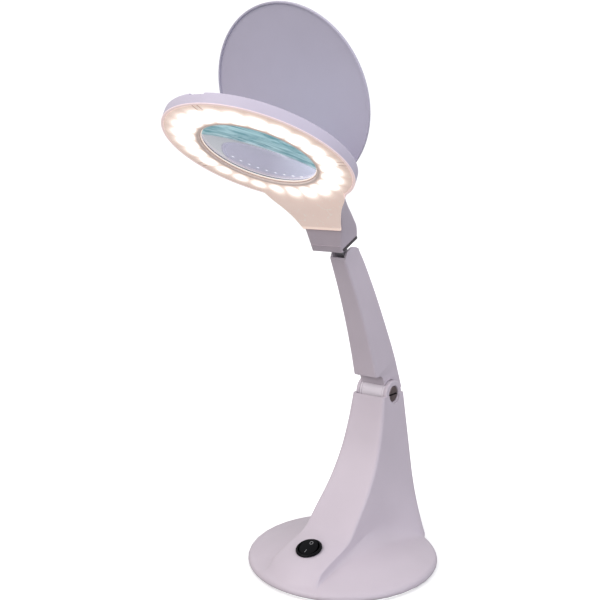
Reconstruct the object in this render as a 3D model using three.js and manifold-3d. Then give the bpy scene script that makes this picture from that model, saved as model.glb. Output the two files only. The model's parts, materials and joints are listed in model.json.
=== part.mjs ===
// A table magnifying lamp: weighted round foot, column, friction-jointed arm, and a ring head
// that holds a 90 mm lens, a circle of LEDs and a hinged lens lid.
//
// Millimetres, +Z up. The origin is the centre of the foot on the table, -Y is the front,
// and every hinge axis lies along X, so the lamp is symmetrical about the plane x = 0.

import * as THREE from 'three';
import { mergeVertices } from 'three/addons/utils/BufferGeometryUtils.js';
import Module from 'manifold-3d';

const wasm = await Module();
wasm.setup();

// ---------------------------------------------------------------- driving dimensions

const GAP = 0.3; // clearance between neighbouring pieces
const WALL = 2.6; // wall of the foot and column moulding

const FOOT_R = 82.5;
const FOOT_RIM_Z = 3.6; // height of the foot's widest circle
const FOOT_RIM_ROUND = 4.8; // radius of the rim's rounding
const FOOT_EDGE_Z = 1.0; // lower edge of the moulding, just above the table
const DOME_TOP = 20.9; // height of the foot's dome on its axis
const DOME_FALL = 0.002057; // the dome falls by this times the radius squared

const COLUMN_TOP = 139.8;
const COLUMN_TOP_FALL = 0.06; // the column's open top slopes down towards the rear
const RAMP_CROWN = 3.2; // how far the ramp's middle stands above its edges
const NOSE_ROUND = 4.3; // how far the ramp's lower end is rounded in plan

const PIVOT_Y = 55.2; // lower hinge, on the column's ears
const PIVOT_Z = 139.5;
const EAR_R = 12.3;
const EAR_IN = 12.7; // inner face of each ear
const EAR_OUT = 16.2; // outer face of each ear
const HINGE_SINK_R = 7.4; // counterbores for the hinge screw's head and its nut
const HINGE_SINK_RIGHT = 14.3; // their floors, from the middle
const HINGE_SINK_LEFT = 14.0;
const BARREL_R = 12;
const BARREL_HALF = 10.6;
const HINGE_BORE_R = 3.3; // hole of the barrel, its washers and the nut

const ARM_LEAN = THREE.MathUtils.degToRad(22.48); // from the lower hinge to the upper one
const ARM_LENGTH = 132.6; // between the two hinge axes
const ARM_WALL = 1.9;

const TONGUE_LEAN = THREE.MathUtils.degToRad(24.6); // the head's tongue, square to the neck's end
const PIN_R = 2; // upper hinge pin
const PIN_HOLE_R = 2.3;
const TONGUE_R = 7.5;
const TONGUE_HALF = 3.6;
const TONGUE_FRONT = -5; // the flat stem's faces
const TONGUE_REAR = 1.6;

const HEAD_Y = -105.3; // centre of the ring's underside
const HEAD_Z = 348.5;
const HEAD_TILT = THREE.MathUtils.degToRad(-28.1);
const RING_R = 73.5;
const RING_H = 9;
const LENS_R = 46.3;
const LENS_EDGE_Z = 3.6; // underside of the lens's edge
const LENS_EDGE = 2.5;
const LENS_SAG = 3.05; // each face's rise: a 3 dioptre biconvex lens
const APERTURE_R = 44;
const LED_COUNT = 24;
const LED_CIRCLE_R = 56.5;

const LID_R = 70.4;
const LID_OPEN = THREE.MathUtils.degToRad(-43); // how far the lid stands open
const LID_HINGE_Y = 62.5; // in the head's frame
const LID_HINGE_Z = 11.2;
const LID_CENTRE = -66.8; // from the hinge to the lid's centre
const LID_KNUCKLE_R = 1.9;
const LID_BORE_R = 1.2; // hole for the lid's hinge pin
const LID_THICKNESS = 2.4;

const SWITCH_Y = -47;
const SWITCH_SLOPE = THREE.MathUtils.degToRad(17);
const SWITCH_R = 11.3; // bezel
const SWITCH_HOLE_R = 10.2;
const ROCKER_R = 8.0;
const ROCKER_AXIS_Z = 0.3; // above the switch's seat

// ---------------------------------------------------------------- materials

const finish = (color, roughness, metalness = 0, extra = {}) =>
  new THREE.MeshStandardMaterial({ color, roughness, metalness, ...extra });

const shellPlastic = finish(0xd2c8d0, 0.42);
const lidPlastic = finish(0xc8c3d4, 0.4);
const darkPlastic = finish(0x4b464b, 0.5);
const blackPlastic = finish(0x121214, 0.35);
const clearPlastic = finish(0xf2ece8, 0.2, 0, { transparent: true, opacity: 0.4 });
const lensGlass = finish(0xdff2f2, 0.03, 0, { transparent: true, opacity: 0.3 });
const steel = finish(0x9a9a9c, 0.35, 1);
const nickel = finish(0x8d7f7c, 0.3, 1);
const brass = finish(0xb59a5a, 0.35, 1);
const rubber = finish(0x202022, 0.85);
const circuitBoard = finish(0xf0f0ea, 0.5);
const greenBoard = finish(0x2c6b3c, 0.5);
const copper = finish(0xb06a3c, 0.4, 1);
const leadSheath = finish(0xe6e2e4, 0.6);
const canPlastic = finish(0x26304f, 0.4);
const acetal = finish(0xe9e7e2, 0.45);

// ---------------------------------------------------------------- geometry helpers

const QUARTER = Math.PI / 2;
const rad = THREE.MathUtils.degToRad;

/** A closed triangle skin, [x, y, z, ...] and its corners, as a three.js geometry. */
function skin(positions, corners) {
  const geometry = new THREE.BufferGeometry();
  geometry.setAttribute('position', new THREE.BufferAttribute(Float32Array.from(positions), 3));
  geometry.setIndex(Array.from(corners));
  return geometry;
}

/** A three.js geometry with its doubled points merged and its faces turned outwards. */
function welded(geometry) {
  const bare = geometry.clone();
  bare.deleteAttribute('normal');
  bare.deleteAttribute('uv');
  const merged = mergeVertices(bare, 1e-4);
  const position = merged.attributes.position;
  const faces = [];
  for (let i = 0; i < merged.index.count; i += 3) {
    const [a, b, c] = [0, 1, 2].map((k) => merged.index.getX(i + k));
    if (a !== b && b !== c && c !== a) faces.push([a, b, c]);
  }
  const point = (i) => new THREE.Vector3().fromBufferAttribute(position, i);
  const volume = faces.reduce((sum, [a, b, c]) => sum + point(a).dot(point(b).cross(point(c))), 0);
  const outward = volume < 0 ? faces.map(([a, b, c]) => [a, c, b]) : faces;
  return skin(position.array, outward.flat());
}

/** Runs one manifold operation over closed geometries and gives a closed geometry back. */
function combined(operation, geometries) {
  const bodies = geometries.map((geometry) => new wasm.Manifold(new wasm.Mesh({
    numProp: 3,
    vertProperties: Float32Array.from(geometry.attributes.position.array),
    triVerts: Uint32Array.from(geometry.index.array),
  })));
  const mesh = bodies.reduce((whole, next) => operation(whole, next)).getMesh();
  return skin(mesh.vertProperties, mesh.triVerts);
}

const join = (...geometries) => combined((whole, next) => whole.add(next), geometries);
const cut = (geometry, ...tools) => combined((whole, tool) => whole.subtract(tool), [geometry, ...tools]);
const common = (...geometries) => combined((whole, next) => whole.intersect(next), geometries);
const otherSide = (geometry) => welded(geometry.clone().scale(-1, 1, 1));

/** A box from its lowest corner to its highest. */
function block([x0, y0, z0], [x1, y1, z1]) {
  const geometry = new THREE.BoxGeometry(x1 - x0, y1 - y0, z1 - z0);
  return welded(geometry.translate((x0 + x1) / 2, (y0 + y1) / 2, (z0 + z1) / 2));
}

/** A solid of revolution about Z; the profile is a list of [radius, z]. */
function turned(profile, segments = 48) {
  const points = profile.map(([r, z]) => new THREE.Vector2(r, z));
  return welded(new THREE.LatheGeometry(points, segments).rotateX(QUARTER));
}

/** A disc or a ring between two heights. */
function ring(innerR, outerR, z0, z1, segments = 48) {
  if (innerR === 0) return turned([[0, z0], [outerR, z0], [outerR, z1], [0, z1]], segments);
  return turned([[innerR, z0], [outerR, z0], [outerR, z1], [innerR, z1], [innerR, z0]], segments);
}

/** A disc or a ring that lies across X, centred on (y, z). */
function crossRing(innerR, outerR, x0, x1, y = 0, z = 0, segments = 32) {
  return ring(innerR, outerR, x0, x1, segments).rotateY(QUARTER).translate(0, y, z);
}

/** A hexagon nut's blank with a plain round hole. */
function hexNut(holeR, cornerR, z0, z1) {
  return cut(ring(0, cornerR, z0, z1, 6), ring(0, holeR, z0 - 1, z1 + 1, 20));
}

/** A side view, [[y, z], ...] or a THREE.Shape of them, pulled out along X. */
function sideSlab(outline, x0, x1) {
  const asShape = () => new THREE.Shape(outline.map(([y, z]) => new THREE.Vector2(y, z)));
  const shape = outline instanceof THREE.Shape ? outline : asShape();
  const options = { depth: x1 - x0, bevelEnabled: false, curveSegments: 10 };
  const geometry = new THREE.ExtrudeGeometry(shape, options);
  // the shape's x and y become Y and Z, and the depth becomes X
  const turn = new THREE.Matrix4().set(0, 0, 1, x0, 1, 0, 0, 0, 0, 1, 0, 0, 0, 0, 0, 1);
  return welded(geometry.applyMatrix4(turn));
}

/** A closed skin through rings of THREE.Vector3, each with the same number of points. */
function loft(rings) {
  const count = rings[0].length;
  const vertices = rings.flat();
  const triangles = [];
  for (let level = 0; level < rings.length - 1; level += 1) {
    for (let i = 0; i < count; i += 1) {
      const a = level * count + i;
      const b = level * count + ((i + 1) % count);
      triangles.push(a, b, b + count, a, b + count, a + count);
    }
  }
  for (const [level, flip] of [[0, true], [rings.length - 1, false]]) {
    const centre = rings[level].reduce((sum, p) => sum.add(p), new THREE.Vector3()).divideScalar(count);
    const hub = vertices.push(centre) - 1;
    for (let i = 0; i < count; i += 1) {
      const a = level * count + i;
      const b = level * count + ((i + 1) % count);
      triangles.push(...(flip ? [hub, b, a] : [hub, a, b]));
    }
  }
  return welded(skin(vertices.flatMap((v) => v.toArray()), triangles));
}

/** The whole ring of a section from its right half, which runs from front to rear. */
function mirrored(half) {
  const left = half.filter((p) => p.x > 1e-6).reverse();
  return [...half, ...left.map((p) => new THREE.Vector3(-p.x, p.y, p.z))];
}

/** A straight line through [input, output] pairs, clamped at its ends. */
function along(pairs, at) {
  const last = pairs.length - 1;
  if (at <= pairs[0][0]) return pairs[0][1];
  if (at >= pairs[last][0]) return pairs[last][1];
  const i = pairs.findIndex(([input]) => input > at);
  const [[a, from], [b, to]] = [pairs[i - 1], pairs[i]];
  return from + ((to - from) * (at - a)) / (b - a);
}

/** A machine screw along -Z with its head's underside at z = 0. */
function screw(headR, headH, shankR, length) {
  const profile = [
    [0, -length], [shankR, -length], [shankR, 0],
    [headR, 0], [headR, headH * 0.45], [headR * 0.7, headH], [0, headH],
  ];
  // a cross recess of two crossing slots
  const slotHalf = headR * 0.12;
  const slotReach = headR * 0.55;
  const slotBottom = headH * 0.6;
  const slot = (x, y) => block([-x, -y, slotBottom], [x, y, headH + 1]);
  return cut(turned(profile, 10), slot(slotHalf, slotReach), slot(slotReach, slotHalf));
}

const part = (name, body, material) => {
  body.computeVertexNormals();
  const mesh = new THREE.Mesh(body, material);
  mesh.name = name;
  return mesh;
};

// ---------------------------------------------------------------- foot and column

const domeZ = (r) => DOME_TOP - DOME_FALL * r * r;

/** The front edge of the column and ramp as [z, y]: how far forward it is at each height. */
const creaseLine = new THREE.SplineCurve([
  [4, -76], [10, -70.5], [17, -64], [21, -53], [25, -38], [28, -28],
  [33, -20], [45.5, -9], [65.5, 9], [88.5, 23], [113.5, 32], [140.9, 38.3],
].map(([z, y]) => new THREE.Vector2(z, y))).getPoints(60).map((p) => [p.x, p.y]);

const SIDE_BREAK_Y = -8; // forward of this the ramp's sides run straight into the foot

/** The column's section at one height, from the outside or moved in by a wall. */
function columnSection(z, inset = 0, lift = 0) {
  const front = along(creaseLine, z);
  const halfWidth = 16.8 + 0.069 * (140.9 - z) - inset * 1.1;
  const flare = 6 * Math.max(0, (70 - z) / 58) ** 2;
  const rearHalf = 16.9 + 0.13 * (138.6 - z) + flare - inset * 1.25;
  const rear = 72.5 + 0.062 * (140 - z) - inset;
  const corner = 4.5 + 0.06 * (139 - z);
  const crown = RAMP_CROWN * THREE.MathUtils.clamp((46 - z) / 20, 0, 1);
  const nose = NOSE_ROUND * THREE.MathUtils.clamp((24 - z) / 10, 0, 1);
  const bulge = nose + front - along(creaseLine, z - crown);
  const sideStart = Math.max(SIDE_BREAK_Y, front + 0.12 * (rear - front));
  const widenFrom = Math.max(SIDE_BREAK_Y, front);
  const share = (sideStart - widenFrom) / (rear - widenFrom);
  const sideHalf = halfWidth + (rearHalf - halfWidth) * share;
  const level = (x, y) => new THREE.Vector3(x, y, z + lift * (y - front));
  const half = [];
  for (const t of [0, 0.4, 0.75, 1]) {
    half.push(level(halfWidth * t, front + inset - bulge * (1 - t * t)));
  }
  half.push(level(sideHalf, sideStart + inset));
  for (let i = 0; i <= 3; i += 1) {
    const a = (i / 3) * QUARTER;
    half.push(level(rearHalf - corner + corner * Math.cos(a), rear - corner + corner * Math.sin(a)));
  }
  half.push(level(0, rear));
  return mirrored(half);
}

function footOutside() {
  const rim = [];
  const rimCentre = FOOT_R - FOOT_RIM_ROUND;
  for (const degrees of [12, 38, 62]) {
    const a = rad(degrees);
    rim.push([rimCentre + FOOT_RIM_ROUND * Math.cos(a), FOOT_RIM_Z + FOOT_RIM_ROUND * Math.sin(a)]);
  }
  const undercut = [[78.6, FOOT_EDGE_Z], [80.4, 1.6], [81.7, 2.5], [82.4, 3.5]];
  const dome = [76, 62, 44, 24].map((r) => [r, domeZ(r)]);
  return turned([[0, FOOT_EDGE_Z], ...undercut, ...rim, ...dome, [0, DOME_TOP]], 52);
}

function footInside() {
  const dome = [76.4, 68, 50, 30].map((r) => [r, domeZ(r) - WALL]);
  return turned([[0, -1], [77.1, -1], [77.1, 5], ...dome, [0, DOME_TOP - WALL]], 36);
}

const BASE_SCREW_R = 66; // circle of the four base screws
const baseScrewPlaces = [45, 135, 225, 315].map((degrees) => {
  const a = rad(degrees);
  return [BASE_SCREW_R * Math.cos(a), BASE_SCREW_R * Math.sin(a)];
});

const switchSeatZ = along(creaseLine.map(([z, y]) => [y, z]), SWITCH_Y) + RAMP_CROWN;
const switchPlace = (body) =>
  body.rotateX(SWITCH_SLOPE).translate(0, SWITCH_Y, switchSeatZ);

const INLET_Z = 17;
const INLET_Y = 80.1; // outer face of the column's rear wall at that height

function baseHousing() {
  const levels = [5, 10, 14, 18, 22, 26, 30, 36, 46, 62, 84, 112];
  const top = columnSection(COLUMN_TOP, 0, -COLUMN_TOP_FALL);
  const outside = loft([...levels.map((z) => columnSection(z)), top]);
  // the hollow follows the outside a wall lower, so that the ramp keeps its thickness
  const inside = loft([-1, 14, 18, 22, 26, 32, 42, 58, 92, 150].map((z) => {
    const reach = THREE.MathUtils.clamp(z, 14, COLUMN_TOP);
    return columnSection(reach + WALL, WALL).map((p) => p.setZ(z));
  }));
  const solidNose = block([-30, -90, -2], [30, -62, 30]);
  const shell = cut(join(footOutside(), outside), footInside(), cut(inside, solidNose));

  const earShape = new THREE.Shape();
  earShape.moveTo(PIVOT_Y - EAR_R, 122);
  earShape.lineTo(PIVOT_Y + EAR_R, 122);
  earShape.lineTo(PIVOT_Y + EAR_R, PIVOT_Z);
  earShape.absarc(PIVOT_Y, PIVOT_Z, EAR_R, 0, Math.PI, false);
  const ear = sideSlab(earShape, EAR_IN, EAR_OUT);
  const bossTop = domeZ(BASE_SCREW_R) - 2.4;
  const bosses = baseScrewPlaces.map(([x, y]) => cut(
    ring(0, 4, 4.4, bossTop, 12),
    ring(0, 1.7, 4, bossTop - 0.8, 10),
  ).translate(x, y, 0));

  const body = join(shell, ear, otherSide(ear), ...bosses);
  const barrelRoom = block(
    [-EAR_IN, PIVOT_Y - BARREL_R - 1, 118],
    [EAR_IN, PIVOT_Y + BARREL_R + 2, 160],
  );
  const onPivot = (r, x0, x1, segments) => crossRing(0, r, x0, x1, PIVOT_Y, PIVOT_Z, segments);
  const hingeHole = onPivot(3.4, -20, 20, 16);
  const screwSink = onPivot(HINGE_SINK_R, HINGE_SINK_RIGHT, 20, 24);
  const nutSink = onPivot(HINGE_SINK_R, -20, -HINGE_SINK_LEFT, 24);
  const switchHole = switchPlace(ring(0, SWITCH_HOLE_R, -20, 5, 24));
  const switchSink = switchPlace(ring(0, SWITCH_R + GAP, 0, 6, 28));
  const inletHole = ring(0, 4.3, 60, 90, 20).rotateX(-QUARTER).translate(0, 0, INLET_Z);
  const inletSeat = ring(0, 6.2, 0, 12, 24).rotateX(-QUARTER)
    .translate(0, INLET_Y - 0.6, INLET_Z);
  return cut(
    body, barrelRoom, hingeHole, screwSink, nutSink,
    switchHole, switchSink, inletHole, inletSeat,
  );
}

function base() {
  const group = new THREE.Group();
  const add = (name, body, material) => group.add(part(name, body, material));

  add('base_housing', baseHousing(), shellPlastic);

  const plate = ring(0, 76.5, 2, 4, 40);
  const plateHoles = baseScrewPlaces.map(([x, y]) => ring(0, 1.8, 0, 6, 10).translate(x, y, 0));
  add('base_plate', cut(plate, ...plateHoles), darkPlastic);

  const padHoles = baseScrewPlaces.map(([x, y]) => ring(0, 4, -1, 6, 12).translate(x, y, 0));
  add('antislip_pad', cut(ring(0, 75, 0, 1.7, 40), ...padHoles), rubber);

  const switchRoom = ring(0, 14, 0, 20, 20).translate(0, SWITCH_Y + 4, 0);
  add('ballast_weight', cut(ring(0, 58, 4.3, 10.3, 32), switchRoom), steel);

  baseScrewPlaces.forEach(([x, y], i) => {
    const body = screw(3, 1.3, 1.3, 6).rotateX(Math.PI).translate(x, y, 1.65);
    add(`base_screw_${i + 1}`, body, steel);
  });

  // driver electronics on top of the ballast, under the column
  const boardTop = 12.3;
  add('driver_board', block([-15, 18, boardTop - 1.6], [15, 60, boardTop]), greenBoard);
  add('driver_capacitor', ring(0, 5, boardTop + GAP, 30, 18).translate(-7, 30, 0), canPlastic);
  add('driver_inductor', ring(2.2, 6, boardTop + GAP, 22, 18).translate(7, 44, 0), copper);
  const leadPoints = [[6, 26, 15], [4, 30, 34], [0, 44, 70], [0, 54, 108], [0, 55, 120]];
  const leadLine = new THREE.CatmullRomCurve3(leadPoints.map((p) => new THREE.Vector3(...p)));
  add('column_lead', cordGeometry(leadLine, 1.8, 10), leadSheath);

  // power inlet in the column's rear wall: flange outside, nut inside
  const inletAxis = (body) => body.rotateX(-QUARTER).translate(0, INLET_Y, INLET_Z);
  const barrel = ring(0, 3.9, -14, 0.4, 24);
  const flange = ring(0, 5.8, -GAP, 1, 24);
  const tail = ring(0, 2.6, -17, -13.9, 16);
  const socket = cut(join(barrel, flange, tail), ring(0, 2.8, -8, 3, 20));
  const centrePin = ring(0, 1, -9, 0.2, 12);
  add('power_inlet', inletAxis(join(socket, centrePin)), blackPlastic);
  add('inlet_nut', inletAxis(hexNut(4.2, 6.4, -6, -4)), steel);

  // round rocker switch: snap-in frame, two blades, and the rocker of its own body
  const frame = join(
    ring(9.1, SWITCH_R, GAP, 2.1, 32),
    ring(9.1, 9.9, -11, 1, 32),
    ring(0, 9.9, -13.5, -11, 32),
  );
  const barb = block([9.5, -4, -6.4], [10.1, 0.5, -4.4]);
  const bladePlaces = [-4, 4];
  const bladeSlots = bladePlaces.map((y) => block([-2.7, y - 0.7, -20], [2.7, y + 0.7, -9]));
  const switchFrame = cut(join(frame, barb, otherSide(barb)), ...bladeSlots);
  add('switch_body', switchPlace(switchFrame), blackPlastic);
  bladePlaces.forEach((y, i) => {
    const blade = block([-2.4, y - 0.4, -17.5], [2.4, y + 0.4, -10.5]);
    add(`switch_terminal_${i + 1}`, switchPlace(blade), brass);
  });

  // slotted hinge screw, its nut, and a washer on each side of the arm's barrel
  const onPivot = (body) => body.rotateY(QUARTER).translate(0, PIVOT_Y, PIVOT_Z);
  const head = ring(0, 6.9, HINGE_SINK_RIGHT + GAP, 15.7, 28);
  const shank = ring(0, 3, -15.6, 14.8, 16);
  const slot = block([-0.8, -8, 15], [0.8, 8, 17]);
  add('lower_hinge_screw', onPivot(cut(join(head, shank), slot)), nickel);
  const nut = hexNut(HINGE_BORE_R, 6.4, -15.9, -HINGE_SINK_LEFT - GAP);
  add('lower_hinge_nut', onPivot(nut), nickel);
  const washer = ring(HINGE_BORE_R, BARREL_R - 0.4, BARREL_HALF + GAP, EAR_IN - GAP, 28);
  add('lower_washer_left', otherSide(onPivot(washer.clone())), acetal);
  add('lower_washer_right', onPivot(washer), acetal);
  return group;
}

/** A round cord along a curve, closed at both ends. */
function cordGeometry(curve, radius, steps) {
  const section = new THREE.Shape().absarc(0, 0, radius, 0, Math.PI * 2, false);
  const options = { steps, curveSegments: 5, extrudePath: curve };
  return welded(new THREE.ExtrudeGeometry(section, options));
}

function switchRocker() {
  // the front half is pressed: the top is two flats that meet above the rocker's axis
  const profile = [[-8.5, 0.9], [0, 2.1], [7.8, 3.9], [8.3, 0.3], [4.5, -5], [-4.5, -5], [-8.3, -1.5]];
  const cap = common(sideSlab(profile, -9, 9), ring(0, ROCKER_R, -8, 8, 32));
  const trunnions = crossRing(0, 1.1, -8.8, 8.8, 0, ROCKER_AXIS_Z, 12);
  return part('switch_rocker', switchPlace(join(cap, trunnions)), blackPlastic);
}

// ---------------------------------------------------------------- arm, in its own frame

/** The arm's frame: origin on the lower hinge, Z towards the upper hinge. */
function armFrame() {
  const group = new THREE.Group();
  group.position.set(0, PIVOT_Y, PIVOT_Z);
  group.rotation.x = ARM_LEAN;
  return group;
}

// the arm bows rearwards a little: [z, y] of its front and rear faces
const ARM_FRONT = [[25.6, -13.2], [50, -10.9], [80, -9.4], [110, -9.4], [139, -10.8]];
const ARM_REAR = [[-6, 19.5], [36, 20], [74, 18.6], [99, 16.9], [125, 14], [138, 11.6]];
const ARM_HALF = [[25, 12.2], [141, 8], [170, 6.95]]; // [z, half-width]
const CHEEK_R = 12.5; // rounded top of the arm about the upper hinge

/** The arm's side view, moved in by a wall at the front and rear. */
function armSide(inset, open = false) {
  const shape = new THREE.Shape();
  const bite = BARREL_R + 0.6;
  const start = rad(112);
  const end = rad(-17);
  if (open) {
    // the channel inside: it runs out through the top and the rear
    shape.moveTo(-13.2 + inset, 27.6);
    shape.lineTo(-5.3, 25);
    shape.lineTo(-2.9, 20.9);
    shape.lineTo(-2.9, 8);
    shape.lineTo(9, -2.2);
    shape.lineTo(19.5 - inset, -2.6);
    shape.lineTo(19.5 - inset, 21.7);
    shape.lineTo(30, 21.7);
    shape.lineTo(30, 160);
    shape.lineTo(-10.8 + inset, 160);
    for (const [z, y] of ARM_FRONT.slice(1).reverse()) shape.lineTo(y + inset, z);
    return shape;
  }
  // the front wall ends above the hinge and steps back under itself
  shape.moveTo(-13.2, 25.6);
  shape.lineTo(-6.6, 22.8);
  shape.lineTo(-4.9, 19.5);
  shape.lineTo(bite * Math.cos(start), bite * Math.sin(start));
  shape.absarc(0, 0, bite, start, end, true);
  shape.lineTo(19.5, -5);
  for (const [z, y] of ARM_REAR.slice(1, -1)) shape.lineTo(y, z);
  shape.lineTo(11.1, ARM_LENGTH + 7.2);
  shape.absarc(0, ARM_LENGTH, CHEEK_R, Math.atan2(7.2, 10.2), rad(118), false);
  for (const [z, y] of ARM_FRONT.slice(1).reverse()) shape.lineTo(y, z);
  return shape;
}

/** A wedge that tapers the arm's width from the bottom to the top. */
function armTaper(inset) {
  const section = (z) => {
    const half = along(ARM_HALF, z) - inset;
    const corners = [[half, -40], [half, 40], [-half, 40], [-half, -40]];
    return corners.map(([x, y]) => new THREE.Vector3(x, y, z));
  };
  return loft([section(-30), section(25), section(170)]);
}

const ARM_SCREW_Z = [72, 106];

function arm() {
  const group = armFrame();
  const add = (name, body, material) => group.add(part(name, body, material));
  const outside = common(sideSlab(armSide(0), -14, 14), armTaper(0));
  const channel = common(sideSlab(armSide(ARM_WALL, true), -14, 14), armTaper(ARM_WALL));
  const frontAt = (z) => along(ARM_FRONT, z);
  const rearAt = (z) => along(ARM_REAR, z);
  const bossAt = (z) => cut(
    ring(0, 2.8, frontAt(z) + 0.5, 2, 16),
    ring(0, 1.5, frontAt(z) + 2.4, 4, 12),
  ).rotateX(-QUARTER).translate(0, 0, z);
  add('arm_shell', join(cut(outside, channel), ...ARM_SCREW_Z.map(bossAt)), shellPlastic);

  // rear cover, held between the shell's side walls
  const coverThickness = 2;
  const rearLine = ARM_REAR.slice(1, -1).map(([z, y]) => [y - GAP, z]);
  const coverOuter = [[19.2, 22], ...rearLine, [11.6, 133]];
  const coverInner = coverOuter.map(([y, z]) => [y - coverThickness, z]).reverse();
  const cover = common(
    sideSlab([...coverOuter, ...coverInner], -14, 14),
    armTaper(ARM_WALL + GAP),
  );
  const screwHole = (z) => join(
    ring(0, 1.6, 0, 30, 12),
    ring(0, 2.8, rearAt(z) - 1.2, 30, 16),
  ).rotateX(-QUARTER).translate(0, 0, z);
  add('arm_back_cover', cut(cover, ...ARM_SCREW_Z.map(screwHole)), shellPlastic);
  ARM_SCREW_Z.forEach((z, i) => {
    const length = rearAt(z) - 1.3 - (frontAt(z) + 4);
    const body = screw(2.4, 1, 1.2, length).rotateX(-QUARTER).translate(0, rearAt(z) - 1.1, z);
    add(`arm_screw_${i + 1}`, body, steel);
  });

  // barrel between the column's ears, with the stem that the bracket bolts to
  const barrel = crossRing(0, BARREL_R, -BARREL_HALF, BARREL_HALF, 0, 0, 32);
  const stem = block([-8, -2.5, 0], [8, 4, 60]);
  const bore = crossRing(0, HINGE_BORE_R, -12, 12, 0, 0, 16);
  add('arm_knuckle', cut(join(barrel, stem), bore), acetal);

  // steel bracket: a web up the arm and a fork for the upper hinge
  const fork = new THREE.Shape();
  fork.moveTo(6.4, 112);
  fork.lineTo(6.4, ARM_LENGTH);
  fork.absarc(0, ARM_LENGTH, 6.4, 0, Math.PI, false);
  fork.lineTo(-4, 120);
  fork.lineTo(2, 112);
  const cheek = sideSlab(fork, 4.9, 6);
  const webHole = (z) => ring(0, 1.8, 0, 12, 12).rotateX(-QUARTER).translate(0, 0, z);
  const webHoles = ARM_SCREW_Z.map(webHole);
  const web = cut(block([-6, 4.4, 30], [6, 6.4, 124]), ...webHoles);
  const bracket = join(web, cheek, otherSide(cheek));
  add('arm_bracket', cut(bracket, crossRing(0, PIN_HOLE_R, -9, 9, 0, ARM_LENGTH, 20)), steel);
  add('upper_hinge_pin', crossRing(0, PIN_R, -6.1, 6.1, 0, ARM_LENGTH, 20), steel);

  const leadStart = new THREE.Vector3(4.6, -5.6, 27);
  const leadEnd = new THREE.Vector3(4.6, -5.6, 121);
  const leadLine = new THREE.LineCurve3(leadStart, leadEnd);
  add('arm_lead', cordGeometry(leadLine, 1.1, 1), leadSheath);
  return group;
}

// ---------------------------------------------------------------- tongue, in its own frame

/** The tongue's frame: origin on the upper hinge, Z square to the neck's end. */
function tongueFrame() {
  const group = new THREE.Group();
  group.position.set(
    0,
    PIVOT_Y - ARM_LENGTH * Math.sin(ARM_LEAN),
    PIVOT_Z + ARM_LENGTH * Math.cos(ARM_LEAN),
  );
  group.rotation.x = TONGUE_LEAN;
  return group;
}

function tongue() {
  const group = tongueFrame();
  const add = (name, body, material) => group.add(part(name, body, material));
  const body = join(
    crossRing(0, TONGUE_R, -TONGUE_HALF, TONGUE_HALF, 0, 0, 32),
    block([-TONGUE_HALF, TONGUE_FRONT, 0], [TONGUE_HALF, TONGUE_REAR, 31]),
  );
  add('neck_tongue', cut(body, crossRing(0, PIN_HOLE_R, -9, 9, 0, 0, 20)), steel);
  const washer = crossRing(PIN_HOLE_R, 5.6, TONGUE_HALF + 0.2, 4.7, 0, 0, 20);
  add('upper_washer_left', otherSide(washer), acetal);
  add('upper_washer_right', washer, acetal);
  return group;
}

// ---------------------------------------------------------------- head, in its own frame

/** The head's frame: origin at the ring's underside, Z up through the lens, -Y forward. */
function headFrame() {
  const group = new THREE.Group();
  group.position.set(0, HEAD_Y, HEAD_Z);
  group.rotation.x = HEAD_TILT;
  return group;
}

// the neck's stations from the ring to its end: [y, z] and half-width of its underside and top
const NECK = [
  { under: [56, 2.4], underHalf: 46, top: [56, RING_H], topHalf: 46 },
  { under: [66, -0.8], underHalf: 36.5, top: [72, RING_H], topHalf: 30 },
  { under: [75, -4.2], underHalf: 29.5, top: [83, RING_H], topHalf: 22.5 },
  { under: [83, -7.4], underHalf: 24.5, top: [92, 7.4], topHalf: 19.5 },
  { under: [90, -10.8], underHalf: 21.3, top: [101, 4.9], topHalf: 18.2 },
  { under: [95.6, -14.2], underHalf: 19.2, top: [109, 2.2], topHalf: 17.3 },
  { under: [101.5, -20.6], underHalf: 17, top: [116.5, -0.8], topHalf: 16.4 },
  { under: [107.3, -26.6], underHalf: 15.6, top: [121.4, -6.2], topHalf: 15.8 },
];
const NECK_WALL = 2;
const CHAMBER_IN_R = 48.4; // the ring's hollow for the LEDs
const CHAMBER_R = 71.4;
const CHAMBER_TOP = 7.2;
const CAP_THICKNESS = 3.4;
const LIP = 2.6; // how far the neck's front wall runs on over the end cap

// the clear cover's tail: [y, z] of its outer face, with the half-width
const COVER = 1.6; // the cover's thickness
const TAIL = [
  { at: [56, 0], half: 40 },
  { at: [66, -3], half: 36 },
  { at: [74, -6.3], half: 29.5 },
  { at: [82, -9.5], half: 24.5 },
  { at: [89, -12.8], half: 21 },
  { at: [94.3, -15.4], half: 19 },
];

/** A neck section, moved in by a wall; its corners are cut off. */
function neckSection({ under, underHalf, top, topHalf }, inset = 0) {
  const down = new THREE.Vector2(under[0] - top[0], under[1] - top[1]);
  const depth = down.length();
  down.normalize();
  const bevel = Math.min(2.2, (depth - 2 * inset) * 0.3);
  const at = (x, fromTop) =>
    new THREE.Vector3(x, top[0] + down.x * fromTop, top[1] + down.y * fromTop);
  const upper = topHalf - inset;
  const lower = underHalf - inset;
  return mirrored([
    at(0, inset), at(upper - bevel, inset), at(upper, inset + bevel),
    at(lower, depth - inset - bevel), at(lower - bevel, depth - inset), at(0, depth - inset),
  ]);
}

/** The end of the neck moved square to itself by some distance, its front moved back. */
function neckEnd(distance, inset, frontBack = 0) {
  const last = NECK[NECK.length - 1];
  const [under, top] = [new THREE.Vector2(...last.under), new THREE.Vector2(...last.top)];
  const across = top.sub(under).normalize();
  const shift = ([y, z], back) => [
    y + across.y * distance + across.x * back,
    z - across.x * distance + across.y * back,
  ];
  return neckSection({ ...last, under: shift(last.under, frontBack), top: shift(last.top, 0) }, inset);
}

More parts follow.
